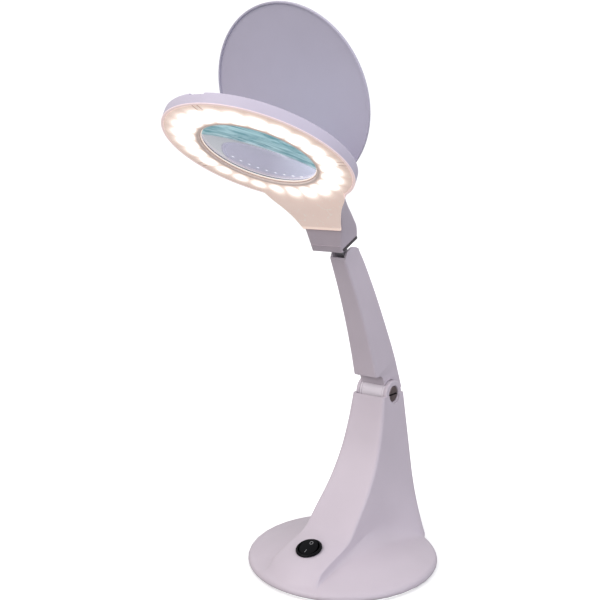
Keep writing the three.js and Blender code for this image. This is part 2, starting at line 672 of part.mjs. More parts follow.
/** The clear cover's tail, or the room for it: moved out by a margin, with its own thickness. */
function coverTail(margin, thickness) {
  return loft(TAIL.map(({ at: [y, z], half }, i) => {
    const ahead = TAIL[Math.min(i + 1, TAIL.length - 1)].at;
    const behind = TAIL[Math.max(i - 1, 0)].at;
    const run = new THREE.Vector2(ahead[0] - behind[0], ahead[1] - behind[1]).normalize();
    const at = (x, rise) => new THREE.Vector3(x, y - run.y * rise, z + run.x * rise);
    const w = half + margin;
    return [at(w, -margin), at(w, thickness), at(-w, thickness), at(-w, -margin)];
  }));
}

function headHousing() {
  const chamfer = 1.1;
  const disc = turned([
    [0, 0], [RING_R, 0], [RING_R, RING_H - chamfer], [RING_R - chamfer, RING_H], [0, RING_H],
  ], 60);
  const neck = loft(NECK.map((station) => neckSection(station)));
  const hollow = NECK.slice(2).map((station) => neckSection(station, NECK_WALL));
  const neckHollow = loft([...hollow, neckEnd(8, NECK_WALL)]);
  const lipFront = loft([neckEnd(-4, 0), neckEnd(LIP, 0)]);
  const lipRoom = loft([neckEnd(-6, -3, 4.5), neckEnd(8, -3, 4.5)]);
  const ledChamber = ring(CHAMBER_IN_R, CHAMBER_R, -2, CHAMBER_TOP, 60);
  const seatR = LENS_R + GAP;
  const lensSeat = turned([
    [0, -2], [seatR, -2], [seatR, CHAMBER_TOP], [APERTURE_R, CHAMBER_TOP], [APERTURE_R, 12], [0, 12],
  ], 48);
  const collarTrim = ring(0, 50, -2, 1.9, 36);
  const notch = block([-7, -80, RING_H - 1.8], [7, -70.4, RING_H + 2]);
  const ledHoles = LED_SCREW_PLACES.map(([x, y]) => ring(0, 1.2, 5, 8.2, 10).translate(x, y, 0));
  const post = crossRing(0, LID_KNUCKLE_R, -7.6, 7.6, LID_HINGE_Y, LID_HINGE_Z, 16);
  const postFoot = block(
    [-7.6, LID_HINGE_Y - 1.4, RING_H - 0.5],
    [7.6, LID_HINGE_Y + 1.4, LID_HINGE_Z],
  );
  const pinHole = crossRing(0, LID_BORE_R, -9, 9, LID_HINGE_Y, LID_HINGE_Z, 12);
  const wireWay = block([-5, 66, 3.2], [5, 90, 6.6]);
  const tailSeat = coverTail(GAP, COVER + GAP);
  return cut(
    join(disc, neck, cut(lipFront, lipRoom), post, postFoot),
    ledChamber, lensSeat, collarTrim, tailSeat, notch, pinHole, neckHollow, wireWay, ...ledHoles,
  );
}

const LED_SCREW_PLACES = [30, 150, 270].map((degrees) => {
  const a = rad(degrees);
  return [64.5 * Math.cos(a), 64.5 * Math.sin(a)];
});

function ledBoard() {
  const board = ring(CHAMBER_IN_R + 0.4, CHAMBER_R - 0.4, 5.3, 6.9, 44);
  const leds = [];
  for (let i = 0; i < LED_COUNT; i += 1) {
    const turn = (360 * (i + 0.5)) / LED_COUNT;
    const led = block([-2.5, LED_CIRCLE_R - 2.5, 3.8], [2.5, LED_CIRCLE_R + 2.5, 5.5]);
    leds.push(led.rotateZ(rad(turn)));
  }
  const holes = LED_SCREW_PLACES.map(([x, y]) => ring(0, 1.5, 3, 8, 12).translate(x, y, 0));
  return cut(join(board, ...leds), ...holes);
}

function ledCover() {
  const plate = ring(44.8, 71, 0, COVER, 60);
  const hook = (degrees) => block([-1.5, 69.6, 0], [1.5, 70.8, 4]).rotateZ(rad(degrees));
  return join(plate, coverTail(0, COVER), ...[180, 80, 280].map(hook));
}

function mainLens() {
  const top = LENS_EDGE_Z + LENS_EDGE;
  const radii = [0, 0.2, 0.4, 0.6, 0.8, 1].map((share) => share * LENS_R);
  const sag = (r) => LENS_SAG * (1 - (r / LENS_R) ** 2);
  const lowerFace = radii.map((r) => [r, LENS_EDGE_Z - sag(r)]);
  const upperFace = radii.map((r) => [r, top + sag(r)]).reverse();
  return turned([...lowerFace, ...upperFace], 32);
}

function head() {
  const group = headFrame();
  const add = (name, body, material) => group.add(part(name, body, material));
  add('head_housing', headHousing(), shellPlastic);
  add('led_board', ledBoard(), circuitBoard);
  LED_SCREW_PLACES.forEach(([x, y], i) => {
    const body = screw(2.3, 1, 0.9, 2.6).rotateX(Math.PI).translate(x, y, 5.2);
    add(`led_screw_${i + 1}`, body, steel);
  });
  add('led_cover', ledCover(), clearPlastic);
  add('lens_retainer', ring(43.6, LENS_R, 1.95, 2.9, 36), acetal);
  add('main_lens', mainLens(), lensGlass);
  const seatTop = LENS_EDGE_Z + LENS_EDGE + GAP;
  add('lens_gasket', ring(45, LENS_R, seatTop, 6.9, 32), rubber);
  const lidPin = crossRing(0, LID_BORE_R - GAP, -16.5, 16.5, LID_HINGE_Y, LID_HINGE_Z, 12);
  add('lid_hinge_pin', lidPin, steel);
  return group;
}

/** The dark plate that closes the neck, with the slot that the tongue comes out of. */
function neckEndCap() {
  const group = headFrame();
  const lipThickness = 2.2;
  const plate = loft([neckEnd(GAP, GAP, lipThickness), neckEnd(CAP_THICKNESS, 0.5, lipThickness)]);
  const worldToHead = matrixOf(headFrame()).clone().invert();
  const tongueInHead = worldToHead.multiply(matrixOf(tongueFrame()));
  const slot = block(
    [-TONGUE_HALF - GAP, TONGUE_FRONT - GAP, 0],
    [TONGUE_HALF + GAP, TONGUE_REAR + GAP, 40],
  ).applyMatrix4(tongueInHead);
  group.add(part('neck_end_cap', cut(plate, slot), darkPlastic));
  return group;
}

function matrixOf(object) {
  object.updateMatrix();
  return object.matrix;
}

// ---------------------------------------------------------------- lid, in its own frame

function lid() {
  const group = headFrame();
  const hinge = new THREE.Group();
  hinge.position.set(0, LID_HINGE_Y, LID_HINGE_Z);
  hinge.rotation.x = LID_OPEN;
  group.add(hinge);
  const lipBottom = RING_H + GAP - LID_HINGE_Z;
  const top = lipBottom + LID_THICKNESS;
  const edge = 0.6; // chamfer round the lid's outer face
  const lipWidth = 1.5;
  const disc = turned([
    [0, lipBottom], [LID_R, lipBottom], [LID_R, top - edge], [LID_R - edge, top], [0, top],
  ], 60);
  const recess = ring(0, LID_R - lipWidth, lipBottom - 1, lipBottom + 1.2, 60);
  const plate = cut(disc, recess).translate(0, LID_CENTRE, 0);
  const trimmed = cut(plate, block([-80, -6, -10], [80, 20, 10]));
  const knuckle = (x0, x1) => join(
    crossRing(0, LID_KNUCKLE_R, x0, x1, 0, 0, 16),
    block([x0, -9, top - 1.2], [x1, 0, top]),
  );
  const pinHole = crossRing(0, LID_BORE_R, -20, 20, 0, 0, 12);
  const body = cut(join(trimmed, knuckle(8, 16), knuckle(-16, -8)), pinHole);
  hinge.add(part('lens_lid', body, lidPlastic));
  return group;
}

// ---------------------------------------------------------------- the lamp

const lamp = new THREE.Group();
lamp.add(base(), switchRocker(), arm(), tongue(), head(), neckEndCap(), lid());

export default lamp;
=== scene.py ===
"""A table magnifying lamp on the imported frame: housings, lens, LED ring, lid, switch and hinge hardware.

Lengths in the shape code are millimetres in each piece's own frame, and become metres as it is made.
"""

import json
import math

import bmesh
import bpy
from mathutils import Matrix, Vector


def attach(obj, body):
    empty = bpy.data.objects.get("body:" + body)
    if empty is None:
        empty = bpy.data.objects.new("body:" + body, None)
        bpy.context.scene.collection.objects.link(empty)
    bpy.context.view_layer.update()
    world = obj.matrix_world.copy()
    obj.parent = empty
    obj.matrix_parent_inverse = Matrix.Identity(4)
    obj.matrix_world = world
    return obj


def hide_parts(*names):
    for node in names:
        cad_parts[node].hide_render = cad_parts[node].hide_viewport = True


rad = math.radians
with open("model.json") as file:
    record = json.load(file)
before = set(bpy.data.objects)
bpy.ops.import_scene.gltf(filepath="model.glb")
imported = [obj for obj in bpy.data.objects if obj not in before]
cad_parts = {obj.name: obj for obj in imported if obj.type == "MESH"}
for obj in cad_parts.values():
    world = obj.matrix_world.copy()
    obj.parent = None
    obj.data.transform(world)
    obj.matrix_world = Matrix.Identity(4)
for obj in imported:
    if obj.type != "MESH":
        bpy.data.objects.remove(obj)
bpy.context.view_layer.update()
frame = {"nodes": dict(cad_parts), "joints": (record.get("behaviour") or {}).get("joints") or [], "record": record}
scene = bpy.context.scene
joints = {j["name"]: j for j in frame["joints"]}

# ---- frames of the moving groups


def shift(x, y, z):
    return Matrix.Translation((x, y, z))


def turn(degrees, axis):
    return Matrix.Rotation(rad(degrees), 4, axis)


def placed(joint, degrees):
    """The frame on a joint's axis, tilted about X."""
    return Matrix.Translation(Vector(joints[joint]["pos_m"]) * 1000) @ turn(degrees, "X")


WORLD = Matrix.Identity(4)
ARM = placed("arm_pivot", 22.48)
TONGUE = placed("head_tilt", 24.6)
LID = placed("lid_hinge", -71.1)
LID_OPENING = 43  # degrees from shut to the pose at rest
LID_AXIS = (62.5, 11.2)  # (y, z) of the lid's hinge in the head's frame
HEAD = LID @ turn(LID_OPENING, "X") @ shift(0, -LID_AXIS[0], -LID_AXIS[1])
SWITCH = placed("switch_rock", 17) @ shift(0, 0, -0.3)
ACROSS = turn(90, "Y")
BACKWARD = turn(-90, "X")
PIVOT_Y, PIVOT_Z = (1000 * v for v in joints["arm_pivot"]["pos_m"][1:])
PIVOT = shift(0, PIVOT_Y, PIVOT_Z)
INLET_Z = 17

# ---- sizes that more than one piece shares

ARM_LENGTH = 132.6  # from the lower hinge's axis to the upper one's
RING_R, RING_H = 73.4, 9.0
COVER_R, RECESS_Z = 71.4, 7.2  # the recess in the ring that holds the LED board and its cover
LED_COUNT, LED_CIRCLE = 24, 56.5
COVER_CLIPS = (180, 80, 280)  # bearings of the cover's snap hooks, in degrees from the neck
CLIP_HALF = 2.3  # from a hook's middle to the slit on either side of it
LENS_R = 46.2
BARREL_BORE, TONGUE_BORE = 3.3, 2.3
FOOT_SCREW_CIRCLE = 66

# ---- materials

HEAD_TO_MM = (tuple(v * 0.001 for v in HEAD.translation), HEAD.to_euler().x)


class Tree:
    """A node tree, with short calls for the nodes that the finishes share."""

    def __init__(self, owner):
        """Starts a new material by its name, or goes on with a material or a world."""
        self.material = bpy.data.materials.new(owner) if isinstance(owner, str) else owner
        self.material.use_nodes = True
        self.nodes = self.material.node_tree.nodes
        self.links = self.material.node_tree.links
        self.shader = self.nodes.get("Principled BSDF")
        self.place = self.nodes.new("ShaderNodeTexCoord").outputs["Object"]

    def put(self, socket, value):
        if isinstance(value, bpy.types.NodeSocket):
            self.links.new(value, socket)
        elif value is not None:
            socket.default_value = value

    def give(self, name, value):
        """Sets or links one of the shader's inputs."""
        self.put(self.shader.inputs[name], value)

    def add(self, kind, **inputs):
        """A new node, with values or links for its inputs."""
        node = self.nodes.new("ShaderNode" + kind)
        for name, value in inputs.items():
            self.put(node.inputs[name.replace("_", " ")], value)
        return node

    def noise(self, scale, detail=2.0, roughness=0.5, vector=None):
        vector = vector or self.place
        node = self.add("TexNoise", Scale=scale, Detail=detail, Roughness=roughness, Vector=vector)
        return node.outputs["Fac"]

    def stretch(self, scale, rotation=(0, 0, 0), location=(0, 0, 0), kind="POINT"):
        node = self.add("Mapping", Vector=self.place, Scale=scale, Rotation=rotation, Location=location)
        node.vector_type = kind
        return node.outputs["Vector"]

    def spread(self, value, low, high, to_low, to_high):
        ends = {"From_Min": low, "From_Max": high, "To_Min": to_low, "To_Max": to_high}
        return self.add("MapRange", Value=value, **ends).outputs["Result"]

    def blend(self, factor, a, b, mode="MIX"):
        node = self.add("Mix", Factor=factor)
        node.data_type = "RGBA"
        node.blend_type = mode
        self.put(node.inputs[6], a)
        self.put(node.inputs[7], b)
        return node.outputs[2]

    def maths(self, operation, a, b=None, c=None):
        node = self.add("Math")
        node.operation = operation
        for socket, value in zip(node.inputs, (a, b, c)):
            self.put(socket, value)
        return node.outputs["Value"]

    def times(self, a, b):
        return self.maths("MULTIPLY", a, b)

    def plus(self, a, b):
        return self.maths("ADD", a, b)

    def minus(self, a, b):
        return self.maths("SUBTRACT", a, b)

    def length(self, a, b):
        return self.maths("SQRT", self.plus(self.times(a, a), self.times(b, b)))

    def mottle(self, low, high, scale, detail=2.0, roughness=0.5):
        """Noise that wanders between two values."""
        return self.spread(self.noise(scale, detail, roughness), 0.3, 0.7, low, high)

    def glow(self, colour, strength):
        self.give("Emission Color", colour)
        self.give("Emission Strength", strength)

    def bump(self, height, strength, distance):
        node = self.add("Bump", Height=height, Strength=strength, Distance=distance)
        if self.shader.inputs["Normal"].links:
            self.put(node.inputs["Normal"], self.shader.inputs["Normal"].links[0].from_socket)
        self.give("Normal", node.outputs["Normal"])


def tone(colour, by):
    return tuple(min(1, c * by) for c in colour) + (1,)


def moulded(name, colour, rough=0.42, grain=1500, depth=0.00005, scuffs=0.5, shine=0.45, mottle=0.05):
    """Injection-moulded plastic: flow mottling, spark-eroded grain, and faint handling scuffs."""
    t = Tree(name)
    flow = t.mottle(0, 1, 14, 3, 0.55)
    body = t.blend(flow, tone(colour, 1 - mottle), tone(colour, 1 + mottle * 0.6))
    speck = t.spread(t.noise(2600, 1), 0.62, 0.75, 0, 0.25)
    body = t.blend(speck, body, tone(colour, 0.86))
    rub = t.spread(t.noise(60, 6, 0.7, t.stretch((1, 1, 0.35))), 0.6, 0.78, 0, scuffs)
    body = t.blend(t.times(rub, 0.35), body, tone(colour, 1.1))
    t.give("Base Color", body)
    cloud = t.mottle(rough - 0.05, rough + 0.06, 90, 4, 0.6)
    t.give("Roughness", t.plus(cloud, t.times(rub, 0.12)))
    t.give("Specular IOR Level", shine)
    t.bump(t.noise(grain, 2), 0.35, depth)
    t.bump(t.noise(45, 2), 0.12, 0.0003)
    return t.material


def metal(name, colour, rough=0.3, along=(1, 1, 14), tarnish=0.25):
    """Plated or turned metal: directional tool marks and a light tarnish."""
    t = Tree(name)
    marks = t.noise(420, 4, 0.65, t.stretch(along))
    dull = t.spread(t.noise(160, 5, 0.6), 0.45, 0.7, 0, tarnish)
    t.give("Base Color", t.blend(dull, tone(colour, 1.0), tone(colour, 0.55)))
    t.give("Metallic", 1.0)
    t.give("Roughness", t.spread(marks, 0.3, 0.7, rough - 0.08, rough + 0.14))
    t.bump(marks, 0.3, 0.00004)
    return t.material


def rubbery(name, colour):
    t = Tree(name)
    dust = t.spread(t.noise(70, 5, 0.7), 0.45, 0.7, 0, 0.35)
    t.give("Base Color", t.blend(dust, tone(colour, 1), tone(colour, 2.1)))
    t.give("Roughness", t.mottle(0.72, 0.92, 500, 3))
    t.bump(t.noise(1800, 2), 0.5, 0.00008)
    return t.material


def board(name, colour, trace):
    """Solder mask over copper tracks: a raised, slightly different tone in crossing bands."""
    t = Tree(name)
    wave = t.add("TexWave", Scale=55, Distortion=6, Detail=1, Vector=t.place)
    tracks = t.spread(wave.outputs["Fac"], 0.55, 0.62, 0, 1)
    t.give("Base Color", t.blend(tracks, tone(colour, 1), tone(trace, 1)))
    t.give("Roughness", t.mottle(0.3, 0.45, 300, 2))
    t.bump(tracks, 0.3, 0.00004)
    return t.material


def in_head(t):
    """Millimetres in the head's frame, as separate X, Y and Z."""
    where = t.stretch((0.001, 0.001, 0.001), (HEAD_TO_MM[1], 0, 0), HEAD_TO_MM[0], "TEXTURE")
    return t.add("SeparateXYZ", Vector=where).outputs


def led_spots(t, size, count=LED_COUNT, circle=LED_CIRCLE, centre=(0, 0), tall=1.0):
    """1 at each LED, falling to 0 round it; then the point's distance from the centre, x and y."""
    x, y, _ = in_head(t)
    x, y = t.minus(x, centre[0]), t.minus(y, centre[1])
    radius = t.length(x, y)
    angle = t.maths("ARCTAN2", y, x)
    pitch = 2 * math.pi / count
    off = t.minus(t.maths("MODULO", t.plus(angle, 10 * pitch * count), pitch), pitch / 2)
    around = t.times(off, circle)
    out = t.maths("DIVIDE", t.minus(radius, circle), tall)
    square = t.plus(t.times(around, around), t.times(out, out))
    return t.maths("EXPONENT", t.times(square, -1 / (size * size))), radius, x, y


def lit_shell(name, ring, neck):
    """The head's moulding: a lighter, cooler ring and a darker, warmer neck, which are painted light and painted
    shade, and a painted glow of LED light in the wall round the cover.
    """
    t = Tree(moulded(name, ring, 0.4))
    x, y, z = in_head(t)
    colour = t.shader.inputs["Base Color"].links[0].from_socket
    # painted shade: the colour darkens and warms along the neck, which faces down
    neck_shade = t.spread(y, 60, 88, 0, 1)
    ratio = tuple(b / a for a, b in zip(ring, neck)) + (1,)
    t.give("Base Color", t.blend(1.0, colour, t.blend(neck_shade, (1, 1, 1, 1), ratio), "MULTIPLY"))
    radius = t.length(x, y)
    # painted glow of LED light on the wall's lower edge round the cover, fading towards the neck
    edge = t.times(t.spread(z, 0.3, 0.9, 1, 0), t.spread(radius, 70, 71, 0, 1))
    t.glow((1.0, 0.72, 0.6, 1), t.times(edge, t.spread(y, 66, 74, 0.5, 0)))
    return t.material


def cover_plastic(name):
    """Clear cover, lightly frosted inside, with the light of the LED circle behind it painted on as glow."""
    t = Tree(name)
    spots, radius, x, y = led_spots(t, 5.6)
    halo = led_spots(t, 11.5)[0]
    # painted light: the halo is stronger on one side of the cover
    toward = t.minus(t.times(x, -0.75), t.times(y, 0.66))
    near_side = t.spread(toward, -45, 45, 0.45, 1.0)
    ripple = t.mottle(0.8, 1.2, 150, 3, 0.6)
    haze = t.times(t.times(halo, near_side), ripple)
    # painted light: the glow weakens towards the near side of the cover
    aside = t.minus(t.times(y, 0.78), t.times(x, 0.63))
    strong = t.spread(aside, 8, 52, 1.0, 0.3)
    light = t.times(strong, t.plus(t.times(spots, 5.0), t.times(haze, 0.75)))
    rim = t.spread(radius, 46.3, 48.8, 0.12, 1.0)
    light = t.times(light, rim)
    warm = t.blend(t.spread(light, 0.05, 1.2, 0, 1), (1.0, 0.74, 0.6, 1), (1.0, 0.97, 0.93, 1))
    # painted highlight along the end of the cover's tail
    lip = t.spread(y, 91.6, 92.4, 0, 0.2)
    even = t.plus(t.spread(y, 70, 98, 0.34, 0.3), lip)
    even = t.times(even, t.spread(rim, 0.12, 1.0, 0.45, 1.0))
    tint = t.mottle(0, 1, 30, 3)
    t.give("Base Color", t.blend(tint, (0.74, 0.62, 0.58, 1), (0.82, 0.7, 0.66, 1)))
    # painted shade along the slits on both sides of each clip's hook, dimming the glow
    slit_shade = 0.0
    for degrees in COVER_CLIPS:
        c, s = math.cos(rad(degrees)), math.sin(rad(degrees))
        sideways = t.maths("ABSOLUTE", t.plus(t.times(x, c), t.times(y, s)))
        outward_by = t.minus(t.times(y, c), t.times(x, s))
        line = t.spread(t.maths("ABSOLUTE", t.minus(sideways, CLIP_HALF)), 0.35, 0.7, 1, 0)
        slit_shade = t.maths("MAXIMUM", slit_shade, t.times(line, t.spread(outward_by, 64, 66, 0, 1)))
    t.glow(warm, t.times(t.plus(light, even), t.spread(slit_shade, 0, 1, 1.0, 0.25)))
    t.give("Roughness", t.mottle(0.16, 0.3, 220, 3))
    t.give("Coat Weight", 0.4)
    t.bump(t.noise(240, 2), 0.2, 0.0002)
    return t.material


def arc_from(t, x, y, centre, radius):
    """How far a point in the head's frame lies outside a circle, and its bearing from the centre."""
    dx, dy = t.minus(x, centre[0]), t.minus(y, centre[1])
    return t.minus(t.length(dx, dy), radius), t.maths("ARCTAN2", dy, dx)


def glass(name):
    """Crown glass with painted LED light: a sea-green crescent of painted reflection by the front rim, painted
    glints, and a faint painted glow.
    """
    t = Tree(name)
    x, y, z = in_head(t)
    # painted reflection: a sea-green crescent with pale streaks by the front rim, less clear than the rest
    outside, bearing = arc_from(t, x, y, (-32.2, 39.8), 67.5)
    crescent = t.spread(outside, -0.8, 1.2, 0, 1)
    polar = t.add("CombineXYZ", X=t.times(outside, 0.16), Y=t.times(bearing, 2.2))  # along the crescent
    streak = t.noise(1.5, 3, 0.55, polar.outputs["Vector"])
    streak.node.inputs["Distortion"].default_value = 1.1
    pale = t.spread(streak, 0.38, 0.66, 0, 1)
    sea = t.blend(pale, (0.11, 0.26, 0.30, 1), (0.42, 0.59, 0.63, 1))
    # painted glints: dots of LED light on the lens's lower face, on one side only
    dots = led_spots(t, 1.05, 54, 59.6, (27.0, -20.7), 1.1)[0]
    right = t.plus(t.times(x, 0.78), t.times(y, 0.63))
    inside = t.spread(t.maths("ABSOLUTE", t.minus(right, 7.0)), 29, 33, 1, 0)
    beyond = t.spread(t.minus(t.times(y, 0.78), t.times(x, 0.63)), 0, 4, 0, 1)
    lower = t.spread(z, 4.6, 4.9, 1, 0)
    glints = t.times(t.times(dots, lower), t.times(inside, beyond))
    clear = t.blend(t.mottle(0, 1, 20, 2), (0.91, 0.93, 0.97, 1), (0.94, 0.95, 0.98, 1))
    t.give("Base Color", t.blend(crescent, clear, sea))
    t.give("Transmission Weight", t.spread(crescent, 0, 1, 1.0, 0.3))
    caught = t.blend(crescent, (0.6, 0.66, 0.78, 1), sea)
    # painted glow across the lens, stronger to one side and in the crescent
    stray = t.spread(right, 8, 42, 0.08, 0.26)
    level = t.maths("MAXIMUM", stray, t.spread(crescent, 0, 1, 0.0, 0.6))
    t.glow(t.blend(glints, caught, (1, 0.98, 0.95, 1)), t.plus(level, t.times(glints, 0.75)))
    t.give("IOR", 1.52)
    t.give("Roughness", t.spread(t.noise(400, 4), 0.4, 0.8, 0.0, 0.03))
    t.bump(t.noise(25, 1), 0.02, 0.0001)
    return t.material


def ground_edge(name):
    """The lens's ground rim: sea-green glass edge with swirls of stray light painted on as glow."""
    t = Tree(name)
    swirl = t.noise(75, 5, 0.62, t.stretch((1, 1, 0.4), (HEAD_TO_MM[1], 0, 0)))
    bright = t.spread(swirl, 0.4, 0.62, 0, 1)
    body = t.blend(bright, (0.1, 0.3, 0.34, 1), (0.62, 0.86, 0.88, 1))
    t.give("Base Color", body)
    # painted glow, brightest on the pale swirls
    t.glow(body, t.spread(bright, 0, 1, 0.55, 0.8))
    t.give("Roughness", t.mottle(0.4, 0.6, 500, 3))
    t.bump(t.noise(900, 2), 0.3, 0.00005)
    return t.material


def lit_ring(name):
    """The lens's retaining ring: acetal in a warm tone with LED light painted on as glow, most of all along its
    inner edge.
    """
    # warm tone standing for the LED light that falls on the ring: painted light
    t = Tree(moulded(name, (0.6, 0.5, 0.48), 0.4, grain=2400))
    x, y, _ = in_head(t)
    # painted glow of LED light, strongest at the inner edge
    t.glow((1.0, 0.84, 0.72, 1), t.spread(t.length(x, y), 43.9, 44.4, 0.75, 0.12))
    return t.material


def glowing(name, colour, strength):
    t = Tree(name)
    phosphor = t.mottle(0.85, 1.1, 1500, 3)
    t.give("Base Color", t.blend(phosphor, (0.9, 0.7, 0.2, 1), (1.0, 0.85, 0.35, 1)))
    t.glow(colour + (1,), t.times(phosphor, strength))
    t.give("Roughness", t.mottle(0.2, 0.35, 900, 2))
    return t.material


SHELL = (0.60, 0.535, 0.59)
finish = {
    "shell": moulded("shell", SHELL, 0.4),
    # the ring's colour is a lighter, bluer copy of the shell's and the neck's a darker one: painted light and
    # shade
    "head_shell": lit_shell("head_shell", (0.65, 0.60, 0.71), (0.5, 0.44, 0.49)),
    "lid": moulded("lid", (0.56, 0.53, 0.63), 0.4, mottle=0.035),
    "dark_plastic": moulded("dark_plastic", (0.075, 0.065, 0.07), 0.5, grain=2200, depth=0.0001),
    "black_plastic": moulded("black_plastic", (0.003, 0.003, 0.004), 0.24, scuffs=0.1, shine=0.09),
    "clear_cover": cover_plastic("clear_cover"),
    "lens_glass": glass("lens_glass"),
    "steel": metal("steel", (0.56, 0.56, 0.58), 0.34),
    "nickel": metal("nickel", (0.24, 0.19, 0.19), 0.36, tarnish=0.5),
    "brass": metal("brass", (0.62, 0.47, 0.2), 0.32),
    "rubber": rubbery("rubber", (0.022, 0.022, 0.024)),
    "white_board": board("white_board", (0.86, 0.84, 0.8), (0.78, 0.76, 0.7)),
    "green_board": board("green_board", (0.03, 0.14, 0.05), (0.05, 0.24, 0.09)),
    "copper": metal("copper", (0.6, 0.26, 0.12), 0.35, along=(14, 1, 1)),
    "lead_sheath": moulded("lead_sheath", (0.72, 0.7, 0.72), 0.5, grain=900),
    "can": moulded("can", (0.02, 0.035, 0.1), 0.3, shine=0.6),
    "acetal": moulded("acetal", (0.74, 0.69, 0.74), 0.4, grain=2400),
    # painted shade: near-black for the shade inside the screw's slot
    "slot_painted_shade": moulded("slot_painted_shade", (0.012, 0.009, 0.01), 0.7, shine=0.1),
    "mark": moulded("mark", (0.26, 0.26, 0.27), 0.5),
    "led_phosphor": glowing("led_phosphor", (1.0, 0.93, 0.82), 6.0),
    "ground_edge": ground_edge("ground_edge"),
    "lit_acetal": lit_ring("lit_acetal"),
}
for entry in frame["record"]["subparts"]:
    node = frame["nodes"][entry["node"]]
    node.data.materials.clear()
    node.data.materials.append(finish[entry["material_slot"]])

# ---- camera and light


def camera():
    azimuth, elevation, roll = (rad(v) for v in (38.781, 9.011, -0.304))
    right = Vector((math.cos(azimuth), math.sin(azimuth), 0))
    level = math.cos(elevation)
    back = Vector((math.sin(azimuth) * level, -math.cos(azimuth) * level, math.sin(elevation)))
    up = back.cross(right)
    facing = Matrix((right, up, back)).transposed().to_4x4() @ Matrix.Rotation(roll, 4, "Z")
    data = bpy.data.cameras.new("camera")
    data.sensor_width = 36
    data.lens = 53.05
    data.clip_end = 50
    cam = bpy.data.objects.new("camera", data)
    scene.collection.objects.link(cam)
    cam.matrix_world = shift(0.4301, -0.5926, 0.3460) @ facing
    scene.camera = cam


def sun(name, towards, strength, colour, softness):
    data = bpy.data.lights.new(name, "SUN")
    data.energy = strength
    data.color = colour
    data.angle = rad(softness)
    light = bpy.data.objects.new(name, data)
    light.rotation_euler = Vector(towards).to_track_quat("-Z", "Y").to_euler()
    scene.collection.objects.link(light)


def studio():
    """A white backdrop for the camera; for the lamp, soft light that falls off downwards."""
    world = bpy.data.worlds.new("studio")
    t = Tree(world)
    up = t.add("SeparateXYZ", Vector=t.add("TexCoord").outputs["Generated"]).outputs["Z"]
    seen = t.add("LightPath").outputs["Is Camera Ray"]
    level = t.add("Mix", Factor=seen, A=t.spread(up, -0.5, 1.0, 0.3, 0.87), B=1.1)
    background = t.nodes["Background"]
    background.inputs["Color"].default_value = (0.985, 0.985, 1.0, 1)
    t.put(background.inputs["Strength"], level.outputs["Result"])
    scene.world = world
    scene.view_settings.view_transform = "Standard"
    sun("key", (0.22, 0.86, -0.5), 1.25, (1.0, 0.94, 0.945), 50)
    sun("side", (-0.95, 0.05, -0.22), 1.15, (0.84, 0.86, 1.0), 60)


camera()
studio()

# ---- shape helpers


def blank(name, shape, place, look):
    """A mesh object from (vertices, faces) in a frame, with one of the finishes."""
    vertices, faces = shape
    mesh = bpy.data.meshes.new(name)
    mesh.from_pydata([(place @ Vector(v)) * 0.001 for v in vertices], [], faces)
    mesh.validate()
    obj = bpy.data.objects.new(name, mesh)
    scene.collection.objects.link(obj)
    mesh.materials.append(finish[look])
    return obj


def piece(name, shape, place, body, slot, replaces=(), sharp=38, look=None):
    """A finished object, which rides on a body."""
    return settle(blank(name, shape, place, look or slot), body, replaces, sharp)


def mend(mesh):
    """Drops the crumbs that carving leaves, and closes its pinholes."""
    bm = bmesh.new()
    bm.from_mesh(mesh)
    bmesh.ops.remove_doubles(bm, verts=bm.verts, dist=2e-6)
    bmesh.ops.dissolve_degenerate(bm, edges=bm.edges, dist=2e-6)
    left, crumbs = set(bm.faces), []
    while left:
        island, queue = [], [left.pop()]
        while queue:
            island.append(queue.pop())
            beyond = {f for e in island[-1].edges if len(e.link_faces) == 2 for f in e.link_faces} & left
            left -= beyond
            queue += beyond
        if len(island) < 8 and any(len(e.link_faces) != 2 for f in island for e in f.edges):
            crumbs += island
    bmesh.ops.delete(bm, geom=crumbs, context="FACES")
    bmesh.ops.holes_fill(bm, edges=[e for e in bm.edges if len(e.link_faces) == 1], sides=40)
    bmesh.ops.recalc_face_normals(bm, faces=bm.faces)
    bm.to_mesh(mesh)
    bm.free()


def settle(obj, body, replaces=(), sharp=38):
    """Cleans and shades a mesh, hangs its object on its body's empty, and hides the parts that it replaces."""
    outward(obj.data)
    mend(obj.data)
    obj.data.shade_smooth()
    obj.data.set_sharp_from_angle(angle=rad(sharp))
    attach(obj, body)
    if replaces:
        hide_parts(*replaces)
    return obj


def outward(mesh):
    """Joins doubled vertices and turns the faces outwards."""
    bm = bmesh.new()
    bm.from_mesh(mesh)
    bmesh.ops.remove_doubles(bm, verts=bm.verts, dist=1e-6)
    bmesh.ops.recalc_face_normals(bm, faces=bm.faces)
    bm.to_mesh(mesh)
    bm.free()


def tool(shape, place=WORLD):
    """A solid to carve with, or to add."""
    obj = blank("tool", shape, place, "shell")
    outward(obj.data)
    return obj


def baked(obj):
    """Applies every modifier."""
    graph = bpy.context.evaluated_depsgraph_get()
    mesh = bpy.data.meshes.new_from_object(obj.evaluated_get(graph))
    old = obj.data
    obj.modifiers.clear()
    obj.data = mesh
    bpy.data.meshes.remove(old)
    return obj


def carve(obj, tools, operation="DIFFERENCE", place=WORLD):
    """Cuts, joins or intersects with each tool, which is an object or a shape in a frame."""
    tools = [t if isinstance(t, bpy.types.Object) else tool(t, place) for t in tools]
    outward(obj.data)
    for cutter in tools:
        step = obj.modifiers.new("carve", "BOOLEAN")
        step.object = cutter
        step.operation = operation
        step.solver = "EXACT"
    baked(obj)
    for cutter in tools:
        bpy.data.objects.remove(cutter)
    return obj


